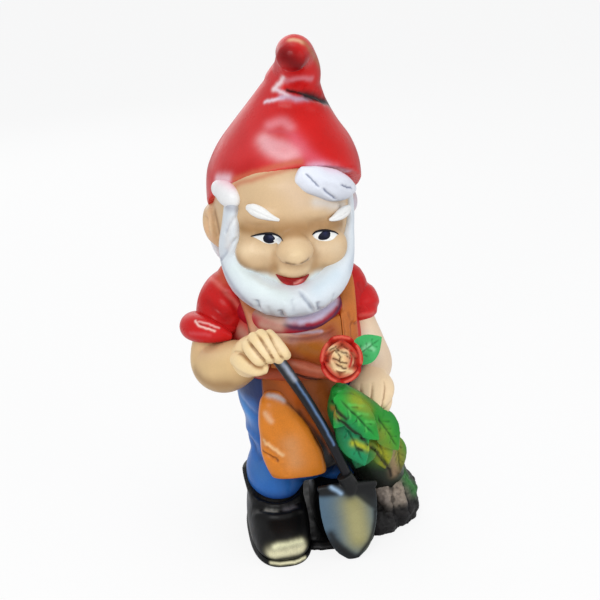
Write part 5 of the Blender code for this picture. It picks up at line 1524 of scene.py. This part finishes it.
rolled_edge = [(-92.8, -40.8, 192.5), (-90.2, -46.7, 190.7), (-84.4, -49.6, 189.2), (-78.5, -51.1, 187.1)]
CUFF_RED = (208, 30, 32)
CUFF_SHADE = (168, 14, 20)
CUFF_SHINE = (250, 214, 204)
CUFF_GLEAM = (246, 190, 184)
CUFF_LOW_HIGHLIGHT = (222, 92, 98)
LEFT_CUFF_SHINE = (232, 100, 92)
CUFF_FOLD_SHADE = (140, 12, 18)
for side, rows in (
    (
        "right",
        [
            (-80, -4, 177.5, 8.8, 8.8),
            (-85.6, -7.5, 177.8, 9.8, 10),
            (-92, -16, 179.8, 10.8, 11.2),
            (-92.6, -28, 182.6, 11.2, 11.8),
            (-86.4, -39, 183.6, 10.4, 10.4),
            (-76, -45, 182, 7.6, 6.8),
            (-67, -47.5, 179.4, 3.4, 3),
        ],
    ),
    (
        "left",
        [
            (36.8, -0.4, 187, 16.6, 17),
            (38.2, -3.2, 183.4, 18.8, 19.2),
            (39.4, -6.8, 177.4, 19.2, 19.4),
            (40, -8.6, 174.2, 16.8, 16.8),
        ],
    ),
):
    cuff = Moulding(f"cuff_{side}")
    if side == "right":
        cuff.loft(rows, side=(0, 0, 1), sides=40)
        cuff.ball((-77, -24, 181), (19, 20, 8))
    else:
        cuff.loft(rows, side=(0, 1, 0), sides=56)
    cuff.fuse(0.8, 8)
    if side == "right":
        cuff.press(rolled_edge, 1.6, 0.7)
        cuff.press([(-91.5, -42.5, 192), (-86, -47.6, 190.6), (-77, -50, 187.8)], 1.3, -0.9)
    cuff.settle()
    cuff.coat(CUFF_RED)
    cuff.facing_light_and_shade(CUFF_SHADE, (0, -0.2, -1), 0.6)
    if side == "right":
        cuff.spray(CUFF_SHINE, rolled_edge, 0.9, 0.9)
        cuff.spray(
            CUFF_GLEAM, [(-89.8, -43.1, 192.6), (-82.5, -46.7, 191.2), (-75.2, -49.2, 188.1)], 0.8, 0.85
        )
        # A painted highlight low on the rolled edge.
        cuff.spray(CUFF_LOW_HIGHLIGHT, [(-97.5, -42.7, 183.7), (-90.8, -48.1, 184.3), (-82.6, -50.9, 183.7)], 1.6, 0.5)
    else:
        cuff.spray(LEFT_CUFF_SHINE, [(40, -27, 176), (52, -21, 175)], 2, 0.6)
    # Painted shade in the folds.
    cuff.shade_and_wash_hollows(CUFF_FOLD_SHADE, 0.6, 0.8)
    cuff.finish(red_lacquer, "red_paint", f"cuff_{side}")

RIGHT_ARM = (224, 190, 138)
RIGHT_ARM_SHADE = (164, 126, 80)
RIGHT_ARM_HIGHLIGHT = (236, 204, 156)
LEFT_ARM = (236, 209, 178)
LEFT_ARM_SHADE = (206, 166, 122)
LEFT_ARM_HIGHLIGHT = (234, 220, 200)
for side, rows, across in (
    (
        "right",
        [
            (-80, -22, 172, 15),
            (-79.2, -24.6, 160, 19),
            (-77.8, -31, 151.4, 20.6),
            (-72.6, -43, 152.6, 20.4),
            (-64, -55, 160, 18.4),
            (-57, -64, 166, 14.5),
        ],
        (0, 0, 1),
    ),
    (
        "left",
        [
            (39.6, -7.6, 174, 12.2),
            (41.6, -8.6, 160, 14.6),
            (45.8, -12, 145, 15.6),
            (49.4, -20, 133, 15.4),
            (46, -33, 126.8, 12),
        ],
        (1, 0, 0),
    ),
):
    forearm = Moulding(f"forearm_{side}")
    forearm.loft(rows, side=across, sides=48)
    forearm.fuse(0.9, 8)
    if side == "right":
        forearm.coat(RIGHT_ARM)
        # Painted shade underneath and a painted highlight along the top.
        forearm.facing_light_and_shade(RIGHT_ARM_SHADE, (0.1, -0.2, -1), 0.85, 1.2)
        forearm.spray(
            RIGHT_ARM_HIGHLIGHT, [(-90.5, -36.1, 167.6), (-79.9, -54.7, 170), (-67.6, -67.4, 174)], 6, 0.6
        )
        forearm.spray(RIGHT_ARM_SHADE, [(-94, -42, 150), (-86, -55, 146), (-72, -66, 148)], 6, 0.8)
    else:
        forearm.coat(LEFT_ARM)
        # Painted shade on the outer side and a painted highlight in front.
        forearm.spray(LEFT_ARM_SHADE, [(60, -6, 150), (66, -14, 136), (62, -26, 128)], 3, 0.6)
        forearm.spray(LEFT_ARM_HIGHLIGHT, [(42, -24, 158), (48, -28, 144)], 8, 0.7)
    forearm.finish(skin_lacquer, "skin_paint", f"forearm_{side}")


def part_fingers(hand, fingers, outward, depth):
    """Presses a groove between each finger and the next, on the side that outward points to."""
    for first, second in zip(fingers, fingers[1:]):
        between = [(np.array(a[:3]) + b[:3]) / 2 + outward for a, b in zip(first, second)]
        hand.press(between, 1.3, depth)


fist = Moulding("hand_right")
fist.loft(
    [
        (-57, -65, 166, 14.2, 13.5),
        (-53, -75, 174.6, 14.6, 14),
        (-48, -83, 180.6, 12.4, 12),
        (-43, -88, 183.6, 7.6, 9),
    ],
    side=(0, 0, 1),
    sides=40,
)
fingers = (
    [(-57.4, -85, 187, 4.4), (-55, -95, 185.4, 4.8), (-51, -99.5, 181, 4.9), (-48.7, -97, 177, 4)],
    [(-52.2, -85, 192.6, 4.4), (-49.2, -95.5, 190.4, 4.9), (-44.4, -100.5, 184, 5), (-41, -97.5, 178.6, 4)],
    [(-46.8, -85, 194.4, 4.4), (-43, -95.5, 191.6, 4.8), (-38.2, -100.5, 184, 4.9), (-34.8, -97.5, 177.8, 4)],
    [(-40.4, -85, 193.6, 4.2), (-36.8, -94.5, 191, 4.6), (-32.2, -99, 184.6, 4.6), (-29, -96, 179.4, 3.6)],
)
for rows in fingers:
    fist.loft(rows, sides=24)
fist.loft(
    [(-65, -80, 174, 6), (-60.5, -90, 174.6, 7), (-53, -94.5, 171.6, 6.4), (-46, -93.4, 170.4, 5)],
    side=(0, 0, 1),
    sides=24,
)
fist.fuse(0.55, 6)
part_fingers(fist, fingers, (0, -4, 0), -1.2)
fist.settle()
FIST_SKIN = (245, 217, 166)
FIST_SHADE = (186, 136, 86)
FINGER_GROOVE_SHADE = (150, 102, 56)
THUMB_SHADE = (172, 122, 74)
THUMB_GROOVE_SHADE = (164, 116, 68)
KNUCKLE_HIGHLIGHT = (244, 220, 182)
fist.coat(FIST_SKIN)
# Painted shade underneath, between the fingers and round the thumb, and painted highlights on the knuckles.
fist.facing_light_and_shade(FIST_SHADE, (0, 0.2, -1), 0.5, 1.5)
fist.shade_and_wash_hollows(FINGER_GROOVE_SHADE, 0.9, 0.5)
fist.spray(THUMB_SHADE, [(-64, -86, 169), (-57, -93, 167), (-49, -95, 167)], 3.4, 0.75)
fist.spray(THUMB_GROOVE_SHADE, [(-63, -88, 181), (-56, -97, 177), (-49, -98.5, 173.4)], 1.8, 0.85)
for rows in fingers:
    fist.spray(KNUCKLE_HIGHLIGHT, [(x, y - 4, z + 3) for x, y, z, half in rows[1:3]], 2.4, 0.6)
fist.finish(skin_lacquer, "skin_paint", "hand_right")

palm = Moulding("hand_left")
palm.loft(
    [
        (45.5, -28.5, 128.8, 11, 9.8),
        (43.5, -39.7, 125.5, 17, 12),
        (41.5, -50.1, 123, 18.4, 11),
        (38, -56.5, 117, 15, 8),
    ],
    sides=40,
)
knuckles = (
    [(29.5, -47, 126, 4.8), (26.5, -57, 117.5, 5.2), (24, -62, 109, 3.6)],
    [(37.6, -49, 127, 5.2), (34.5, -60, 117.5, 5.5), (31.5, -65, 107, 3.8)],
    [(46.2, -48, 126, 5.2), (43.6, -59, 115.5, 5.5), (41, -63, 106, 3.8)],
    [(54, -44, 124, 4.8), (52.4, -54, 114, 5.2), (50, -57, 106, 3.6)],
)
for rows in knuckles:
    palm.loft(rows, sides=24)
palm.fuse(0.6, 6)
part_fingers(palm, knuckles, (0, -4, 3), -1.1)
palm.settle()
PALM_SKIN = (242, 214, 174)
PALM_GROOVE_SHADE = (146, 100, 62)
PALM_SHADE = (190, 146, 104)
palm.coat(PALM_SKIN)
# Painted shade between the fingers and underneath.
palm.shade_and_wash_hollows(PALM_GROOVE_SHADE, 0.9, 0.5)
palm.facing_light_and_shade(PALM_SHADE, (0.3, 0.3, -1), 0.5, 1.5)
palm.finish(skin_lacquer, "skin_paint", "hand_left")


# Spade: a toy-sized garden spade of two mouldings. The blade has a tread and a socket. It is dished in front
# and sprayed blue-grey with a worn cream middle. The shaft is pushed into the socket and into the fist.
steel_lacquer = lacquer("Spade lacquer", dull=0.4, gloss=0.08, cover=0.12, shine=0.18)
blade = Moulding("spade_blade")
blade.loft(
    [
        (14.6, -95.6, 0.8, 5.4, 1.8),
        (14.4, -94.4, 7, 12.6, 2.2),
        (14.2, -92, 18, 18.6, 2.4),
        (14, -89, 32, 22, 2.4),
        (13.8, -86, 46, 23, 2.4),
        (13.6, -84.6, 58, 22.4, 2.4),
    ],
    side=(1, 0, 0),
    sides=56,
    square=2.4,
    dome=0.6,
)
blade.loft(
    [(-8.6, -84, 58, 2.6), (3, -84, 58.4, 3), (14, -84, 58.4, 3), (25, -84, 58.4, 3), (36, -84, 58, 2.6)],
    side=(0, 0, 1),
    sides=24,
)
blade.loft(
    [
        (14, -84.5, 40, 2.6, 2.2),
        (15.4, -84, 50, 5, 4.4),
        (16.4, -83.4, 58, 6.3, 6.1),
        (11.8, -83.7, 68.4, 6.4, 6.4),
    ],
    sides=32,
    dome=0.1,
)
blade.fuse(0.6, 4)
blade.press([(15, -92, 14), (15, -90, 28), (14, -88, 42)], 12, -1.0)
blade.settle()
BLADE_BLUE = (80, 106, 126)
WORN_CREAM = (154, 148, 98)
PALE_CREAM = (172, 166, 120)
BLADE_EDGE = (20, 21, 22)
TREAD_BLACK = (22, 23, 24)
TREAD_SHINE = (150, 178, 206)
blade.coat(BLADE_BLUE)
blade.spray(WORN_CREAM, [(18, -88.8, 44), (19, -90.7, 31), (20, -94, 17)], 12.5, 0.97)
blade.spray(PALE_CREAM, [(18, -90, 38), (19.6, -93, 22)], 6, 0.6)
blade.fade(BLADE_EDGE, (16, -88, 50), (16, -88, 55), 0.97)
blade.fade(BLADE_EDGE, (32, -90, 36), (35, -90, 39), 0.9)
blade.fade(BLADE_EDGE, (9, -92, 14), (5, -92, 9), 0.9)
blade.spray(BLADE_EDGE, [(35, -90, 36), (33.5, -92, 26), (29, -94.7, 14), (18, -97, 2)], 2.2, 0.9)
blade.spray(TREAD_BLACK, [(-2, -93, 22), (3, -95, 13), (10, -96.5, 5), (15, -97, 1)], 4, 0.9)
blade.spray(TREAD_BLACK, [(-8, -86, 60), (14, -87.4, 63), (25.3, -86.4, 60), (36, -86.5, 59)], 4.4, 0.97)
blade.spray(TREAD_BLACK, [(26, -87, 56), (33, -88, 50)], 5, 0.95)
blade.spray(TREAD_BLACK, [(11.5, -89, 69), (14, -90, 60), (15, -89, 54)], 5.4, 0.95)
blade.spray(TREAD_SHINE, [(1, -86.6, 60.5), (8, -87.4, 54.5)], 1.8, 0.95)
blade.finish(steel_lacquer, "spade_paint", "spade_blade")

shaft = Moulding("spade_shaft")
foot, top = np.array((16.8, -83.2, 60)), np.array((-37.6, -86, 178))
bow_out = np.array((3.4, 0, 1.6))
along = [foot + (top - foot) * k / 10 + bow_out * math.sin(math.pi * k / 10) for k in range(11)]
shaft.loft([(*at, 3.6 + 0.12 * k) for k, at in enumerate(along)], sides=32, steps=3, dome=0.3)
shaft.fuse(0.6, 4)
SHAFT_BLACK_AND_SHADE = (22, 22, 26)
SHAFT_LIT_BLUE = (96, 126, 166)
SHAFT_SHINE = (170, 178, 192)
SOCKET_BLACK = (20, 20, 24)
# The shaft is sprayed black, which also stands for the shade on its sides, with a painted blue-grey highlight
# down its lit side.
shaft.coat(SHAFT_BLACK_AND_SHADE)
shine = [at + (1.4, -4, 0.7) for at in along[3:]]
shaft.spray(SHAFT_LIT_BLUE, shine, 0.95, 0.95)
shaft.spray(SHAFT_SHINE, shine[5:], 2.0, 0.75)
shaft.spray(SOCKET_BLACK, [at + (0, -4, 0) for at in along[:3]], 5, 0.95)
shaft.finish(steel_lacquer, "spade_paint", "spade_shaft")


# Rose bush: a clump of broad leaves on a thick stem that leans from the mound to the hand, moulded in one.
# The leaves are sprayed grass green and teal, with olive tips and dark stems, painted highlights along the
# veins of the front leaf, and painted shade in the vein grooves, the hollows and a gap.
leaf_lacquer = lacquer("Leaf lacquer", dull=0.34, gloss=0.1, cover=0.16, shine=0.14)


def leaf(piece, root, tip, wide, facing, belly=3.0, thick=1.5):
    """A pointed leaf from root to tip, bowed out towards the way it faces."""
    root, tip = Vector(root), Vector(tip)
    facing = Vector(facing).normalized()
    across = (tip - root).cross(facing).normalized()
    rows = []
    for share, size in ((0, 0.25), (0.2, 0.8), (0.45, 1), (0.7, 0.78), (0.9, 0.36), (1, 0.08)):
        at = root.lerp(tip, share) + facing * belly * math.sin(math.pi * share)
        rows.append((*at, wide * size, max(thick * (0.5 + 0.5 * size), 0.9)))
    piece.loft(rows, side=across, sides=28, steps=5)
    middle = []
    for share in (0.06, 0.35, 0.65, 0.94):
        middle.append(root.lerp(tip, share) + facing * (belly * math.sin(math.pi * share) + thick))
    veins = []
    for share in (0.25, 0.45, 0.65):
        start = root.lerp(tip, share) + facing * (belly + thick)
        for out in (-1, 1):
            end = start.lerp(tip, 0.28) + across * out * wide * 0.7 * (1.15 - share) - facing * 1.5
            veins.append([start, end])
    return [tuple(at) for at in middle], [[tuple(at) for at in vein] for vein in veins]


bush = Moulding("rose_bush")
bush.loft(
    [
        (53.4, -37.7, 33.6, 16, 14),
        (42, -49, 66, 23, 15),
        (32, -58, 94, 24, 14),
        (19, -69, 121, 17, 10),
        (12, -76, 139, 7, 5.5),
    ],
    sides=40,
)
bush_leaves = (
    ((8, -82, 136), (40, -84, 96), 13, (0.1, -1, 0.5), (34, 168, 62)),
    ((27, -76, 130), (5, -88, 112), 10, (-0.2, -1, 0.6), (34, 160, 60)),
    ((20, -76, 131), (38, -72, 108), 9, (0.4, -1, 0.6), (150, 160, 24)),
    ((38, -68, 113), (58, -70, 78), 13.4, (0.4, -1, 0.4), (28, 150, 44)),
    ((45, -56, 106), (64, -46, 70), 12, (0.9, -0.7, 0.4), (30, 150, 44)),
    ((14, -76, 116), (28, -86, 76), 13, (-0.2, -1, 0.3), (28, 140, 92)),
    ((36, -68, 94), (22, -78, 70), 11, (-0.1, -1, 0.2), (26, 150, 84)),
    ((40, -66, 96), (48, -70, 62), 11, (0.2, -1, 0.3), (150, 152, 34)),
    ((56, -54, 84), (62, -54, 48), 10, (0.5, -1, 0.3), (140, 140, 50)),
    ((40, -46, 100), (56, -28, 70), 12, (0.7, 0.6, 0.4), (30, 140, 50)),
)
drawn = [leaf(bush, root, tip, wide, facing) for root, tip, wide, facing, colour in bush_leaves]
bush.fuse(0.7, 4)
for middle, veins in drawn[:1] + drawn[3:]:
    bush.press(middle, 1.2, -1.3)
    for vein in veins:
        bush.press(vein, 1.0, -0.6)
bush_stems = (
    [(4.7, -78, 129), (7.4, -86.6, 127.2), (14.5, -88.3, 118.7)],
    [
        (8, -84, 119),
        (13.3, -89.9, 115.4),
        (26.8, -85.5, 99.6),
        (39.2, -76, 82.9),
        (49.4, -70.6, 64.7),
        (55, -60, 47),
    ],
)
for stem in bush_stems:
    bush.press(stem, 1.5, -1.5)
bush.settle()
BUSH_GREEN = (30, 110, 46)
VEIN_HIGHLIGHT = (86, 200, 90)
TEAL = (24, 132, 84)
YELLOW_TIP = (186, 186, 30)
GAP_SHADOW = (14, 18, 12)
OLIVE_TIP = (184, 170, 30)
DRY_TIP = (190, 120, 40)
LEAF_HOLLOW_SHADE = (14, 52, 20)
ROOT_BLACK = (30, 30, 28)
HOLLOW_BLACK = (22, 22, 20)
BARK_TAN = (166, 136, 104)
STEM_BROWN = (28, 20, 10)
bush.coat(BUSH_GREEN)
for (root, tip, wide, facing, colour), (middle, veins) in zip(bush_leaves, drawn):
    bush.spray(colour, middle, wide * 0.75, 0.95)
# Painted highlights along the veins of the front leaf.
for vein in drawn[0][1]:
    bush.spray(VEIN_HIGHLIGHT, [np.array(at) + (1.5, 0, 1.5) for at in vein], 1.2, 0.6)
bush.spray(TEAL, [(13.3, -88, 110), (19.3, -83.3, 99.4), (23.1, -86, 86.4), (22.4, -78.5, 74)], 6, 0.75)
bush.spray(YELLOW_TIP, [(20, -85, 96), (27, -86.5, 93), (34, -80, 89)], 2.8, 0.85)
# Painted shadow in a gap between leaves.
bush.spray(GAP_SHADOW, [(23, -86, 91), (30, -85, 88)], 1.7, 0.95)
bush.spray(OLIVE_TIP, [(25, -80, 126), (34, -78, 116)], 4.4, 0.75)
bush.spray(DRY_TIP, [(5, -78, 122), (9, -86, 121)], 3, 0.7)
# Painted shade in the vein grooves and the hollows.
bush.shade_and_wash_hollows(LEAF_HOLLOW_SHADE, 0.9, 0.7)
bush.fade(ROOT_BLACK, (50, -50, 66), (46, -52, 52), 0.9)
bush.fade(HOLLOW_BLACK, (28, -70, 76), (20, -74, 64), 0.9)
bush.spray(BARK_TAN, [(55, -66, 76), (56, -62, 62), (57, -56, 50)], 4.4, 0.8)
for stem in bush_stems:
    bush.spray(STEM_BROWN, stem, 1.5, 0.95)
bush.finish(leaf_lacquer, "leaf_paint", "rose_bush")


# Rose: one red bloom on a short green stalk that is pushed into the top of the bush, with a single leaf.
# The bloom is moulded as rings of petals round a cream heart, and the folds of the heart are painted brown.
stem = Moulding("rose_stem")
stem.loft(
    [(13.1, -75.9, 139, 3.4), (13, -75, 150, 3), (13, -75.4, 158, 2.9), (13, -82.5, 166.6, 2.8)], sides=24
)
stem.fuse(0.6, 4)
STALK_GREEN = (34, 110, 44)
STALK_SHADE = (16, 50, 20)
stem.coat(STALK_GREEN)
stem.shade_and_wash_hollows(STALK_SHADE, 0.6, 0.4)
stem.finish(leaf_lacquer, "leaf_paint", "rose_stem")

rose_leaf = Moulding("rose_leaf")
middle, veins = leaf(rose_leaf, (21, -78, 163), (48, -66, 174), 11.4, (0.25, -1, 0.45), 3, 1.7)
rose_leaf.loft([(10, -76, 156, 2.6), (18, -77, 157.6, 2.4), (24, -77, 159.4, 2)], sides=16)
rose_leaf.fuse(0.55, 4)
rose_leaf.press(middle, 1.1, -1.0)
for vein in veins:
    rose_leaf.press(vein, 1.0, -0.6)
rose_leaf.settle()
LEAF_GREEN = (66, 176, 98)
LEAF_SHINE = (140, 214, 160)
LEAF_SHADE = (24, 110, 52)
rose_leaf.coat(LEAF_GREEN)
rose_leaf.spray(LEAF_SHINE, [(33, -78, 170), (38, -77, 173), (40, -75, 168)], 1.8, 0.7)
rose_leaf.shade_and_wash_hollows(LEAF_SHADE, 0.9, 0.5)
rose_leaf.finish(leaf_lacquer, "leaf_paint", "rose_leaf")

flower = Moulding("rose_flower")
face_way = Vector((-0.10, -0.93, 0.36)).normalized()
rose_right = Vector((0, 0, 1)).cross(face_way).normalized()
rose_up = face_way.cross(rose_right).normalized()
rose_at = Vector((13, -86, 168))
ROSE_WIDTH = 0.84


def on_rose(right, up, out):
    """A place on the bloom, measured from its middle."""
    return tuple(rose_at + rose_right * right + rose_up * up + face_way * out)


cup = ((-6, 5), (-3, 10.4), (1, 14), (5, 14.6))
cup_rows = [(*on_rose(0, 0, out), half * ROSE_WIDTH, half) for out, half in cup]
flower.loft(cup_rows, side=rose_right, sides=48, dome=0.3)


def petal(angle, radius, out, lean, wide, long, thick=2.2):
    """A rounded petal at an angle round the flower, leaning out from its middle."""
    spread = rose_right * math.cos(angle) + rose_up * math.sin(angle)
    along = spread * math.sin(lean) + face_way * math.cos(lean)
    through = spread * math.cos(lean) - face_way * math.sin(lean)
    turn = Matrix((along.cross(through), along, through)).transposed()
    sideways = rose_right * math.cos(angle) * ROSE_WIDTH + rose_up * math.sin(angle)
    flower.ball(rose_at + sideways * radius + face_way * out, (wide, long, thick), turn)


outer_petals = (0.2, 1.5, 2.75, 3.95, 5.25)
for angle in outer_petals:
    petal(angle, 13, 5.4, 0.8, 10, 7.2)
for angle in (0.7, 2.2, 3.9, 5.1):
    petal(angle, 10.4, 8, 0.4, 8.6, 6.4, 1.9)
flower.loft([on_rose(0, 0, 4) + (10,), on_rose(0, 0, 9) + (9.4,), on_rose(0, 0.4, 11.6) + (6,)], sides=40)
for angle, out in ((0.6, 10.4), (2.7, 10.8), (4.6, 10.2)):
    petal(angle, 5.2, out, 0.9, 6.4, 4.6, 1.7)
flower.fuse(0.5, 3)
petal_lines = (
    [on_rose(-8, 8, 13), on_rose(-1, 7, 15), on_rose(6, 2, 14), on_rose(8, -3, 13)],
    [on_rose(-6, 1, 14), on_rose(-1, -2, 15), on_rose(4, -3, 14)],
    [on_rose(-3, 9, 14), on_rose(0, 3, 16), on_rose(-2, -1, 15)],
    [on_rose(-5, -4, 14), on_rose(-1, -5.5, 15), on_rose(3, -6, 14)],
)
for path in petal_lines:
    flower.press(path, 0.9, -1.0)
flower.settle()
ROSE_RED = (182, 17, 12)
ROSE_FOLD_SHADE = (120, 8, 10)
ROSE_FRONT_HIGHLIGHT = (214, 48, 36)
ROSE_CREAM = (242, 210, 154)
PALE_PETAL = (246, 220, 170)
RIM_HIGHLIGHT_PINK = (240, 120, 96)
PETAL_LINE = (84, 40, 12)
INNER_RED = (190, 20, 18)
flower.coat(ROSE_RED)
# Painted shade in the folds and painted light on the front of the bloom.
flower.shade_and_wash_hollows(ROSE_FOLD_SHADE, 0.9, 0.5)
flower.facing_light_and_shade(ROSE_FRONT_HIGHLIGHT, tuple(face_way), 0.2, 6)
flower.spray(ROSE_CREAM, [on_rose(-2, 4, 14), on_rose(1, -4, 14)], 6.4, 0.98)
flower.spray(
    PALE_PETAL, [on_rose(-8, 10, 12), on_rose(-3, 7, 14), on_rose(6, 3, 13), on_rose(9, -3, 12)], 2.4, 0.9
)
flower.spray(PALE_PETAL, [on_rose(-9, -2, 12), on_rose(-3, -7, 13), on_rose(6, -9, 12)], 2.4, 0.9)
# Painted highlights along the rims of the outer petals.
for angle in outer_petals:
    rim = [on_rose(14.4 * math.cos(angle + d), 17 * math.sin(angle + d), 10) for d in (-0.4, 0, 0.4)]
    flower.spray(RIM_HIGHLIGHT_PINK, rim, 1.0, 0.7)
for path in petal_lines:
    flower.spray(PETAL_LINE, path, 0.9, 0.9)
flower.spray(INNER_RED, [on_rose(7, 6, 13), on_rose(9, 0, 13), on_rose(7, -6, 13)], 1.6, 0.9)
flower.finish(red_lacquer, "red_paint", "rose_flower")


# Floor, light and camera: a pale floor under even studio light. The camera stands in front of the gnome and
# higher than its cap, and looks down at it.
floor_mesh = bpy.data.meshes.new("floor")
bm = bmesh.new()
bmesh.ops.create_grid(bm, x_segments=1, y_segments=1, size=6)
bm.to_mesh(floor_mesh)
bm.free()
floor = bpy.data.objects.new("floor", floor_mesh)
bpy.context.collection.objects.link(floor)
paper = bpy.data.materials.new("White paper floor")
paper.use_nodes = True
nodes, links = paper.node_tree.nodes, paper.node_tree.links
matt = nodes["Principled BSDF"]
matt.inputs["Base Color"].default_value = (0.92, 0.92, 0.92, 1)
matt.inputs["Roughness"].default_value = 0.9
glow = nodes.new("ShaderNodeEmission")
blend = nodes.new("ShaderNodeMixShader")
rays = nodes.new("ShaderNodeLightPath")
weight = nodes.new("ShaderNodeMath")
weight.operation = "MULTIPLY"
weight.inputs[1].default_value = 0.85
links.new(rays.outputs["Is Camera Ray"], weight.inputs[0])
links.new(weight.outputs[0], blend.inputs[0])
links.new(matt.outputs[0], blend.inputs[1])
links.new(glow.outputs[0], blend.inputs[2])
links.new(blend.outputs[0], nodes["Material Output"].inputs["Surface"])
floor_mesh.materials.append(paper)

world = bpy.data.worlds.new("Studio")
bpy.context.scene.world = world
world.use_nodes = True
nodes, links = world.node_tree.nodes, world.node_tree.links
room = nodes["Background"]
backdrop = nodes.new("ShaderNodeBackground")
blend = nodes.new("ShaderNodeMixShader")
rays = nodes.new("ShaderNodeLightPath")
seen = nodes.new("ShaderNodeMath")
shown = nodes.new("ShaderNodeMath")
room.inputs["Color"].default_value = (0.95, 0.97, 1.0, 1)
room.inputs["Strength"].default_value = 0.56
backdrop.inputs["Color"].default_value = (1, 1, 1, 1)
backdrop.inputs["Strength"].default_value = 1.0
seen.operation = "MAXIMUM"
shown.operation = "MAXIMUM"
links.new(rays.outputs["Is Camera Ray"], seen.inputs[0])
links.new(rays.outputs["Is Transmission Ray"], seen.inputs[1])
links.new(seen.outputs[0], shown.inputs[0])
links.new(rays.outputs["Is Glossy Ray"], shown.inputs[1])
links.new(shown.outputs[0], blend.inputs[0])
links.new(room.outputs[0], blend.inputs[1])
links.new(backdrop.outputs[0], blend.inputs[2])
links.new(blend.outputs[0], nodes["World Output"].inputs["Surface"])

for name, at, aim, size, power in (
    ("Key softbox", (-0.45, -1.25, 1.05), (-0.01, -0.03, 0.22), 0.7, 8.4),
    ("Side fill", (1.1, -0.8, 0.55), (0, 0, 0.2), 0.9, 2.8),
    ("Top softbox", (0.1, 0.1, 1.5), (0, 0, 0.2), 0.9, 3.7),
    ("Back fill", (-0.4, 1.3, 0.8), (0, 0, 0.2), 1.0, 3),
):
    lamp = bpy.data.lights.new(name, "AREA")
    lamp.size = size
    lamp.energy = power
    softbox = bpy.data.objects.new(name, lamp)
    bpy.context.collection.objects.link(softbox)
    softbox.location = at
    softbox.rotation_euler = (Vector(aim) - Vector(at)).to_track_quat("-Z", "Y").to_euler()

lens = bpy.data.cameras.new("Camera")
lens.lens = 78
lens.sensor_width = 36
lens.shift_x = -0.01
lens.shift_y = -0.0283
camera = bpy.data.objects.new("Camera", lens)
bpy.context.collection.objects.link(camera)
swing = math.radians(-7)
rise = math.radians(20)
lean = math.radians(-3)
distance = 1.05
aim = Vector((0, 0, 0.2))
back = Vector((math.sin(swing) * math.cos(rise), -math.cos(swing) * math.cos(rise), math.sin(rise)))
right = Vector((math.cos(swing), math.sin(swing), 0))
up = back.cross(right)
tilted_right = right * math.cos(lean) + up * math.sin(lean)
tilted_up = up * math.cos(lean) - right * math.sin(lean)
facing = Matrix((tilted_right, tilted_up, back)).transposed().to_4x4()
camera.matrix_world = Matrix.Translation(aim + back * distance) @ facing
bpy.context.scene.camera = camera
bpy.context.scene.view_settings.view_transform = "Standard"
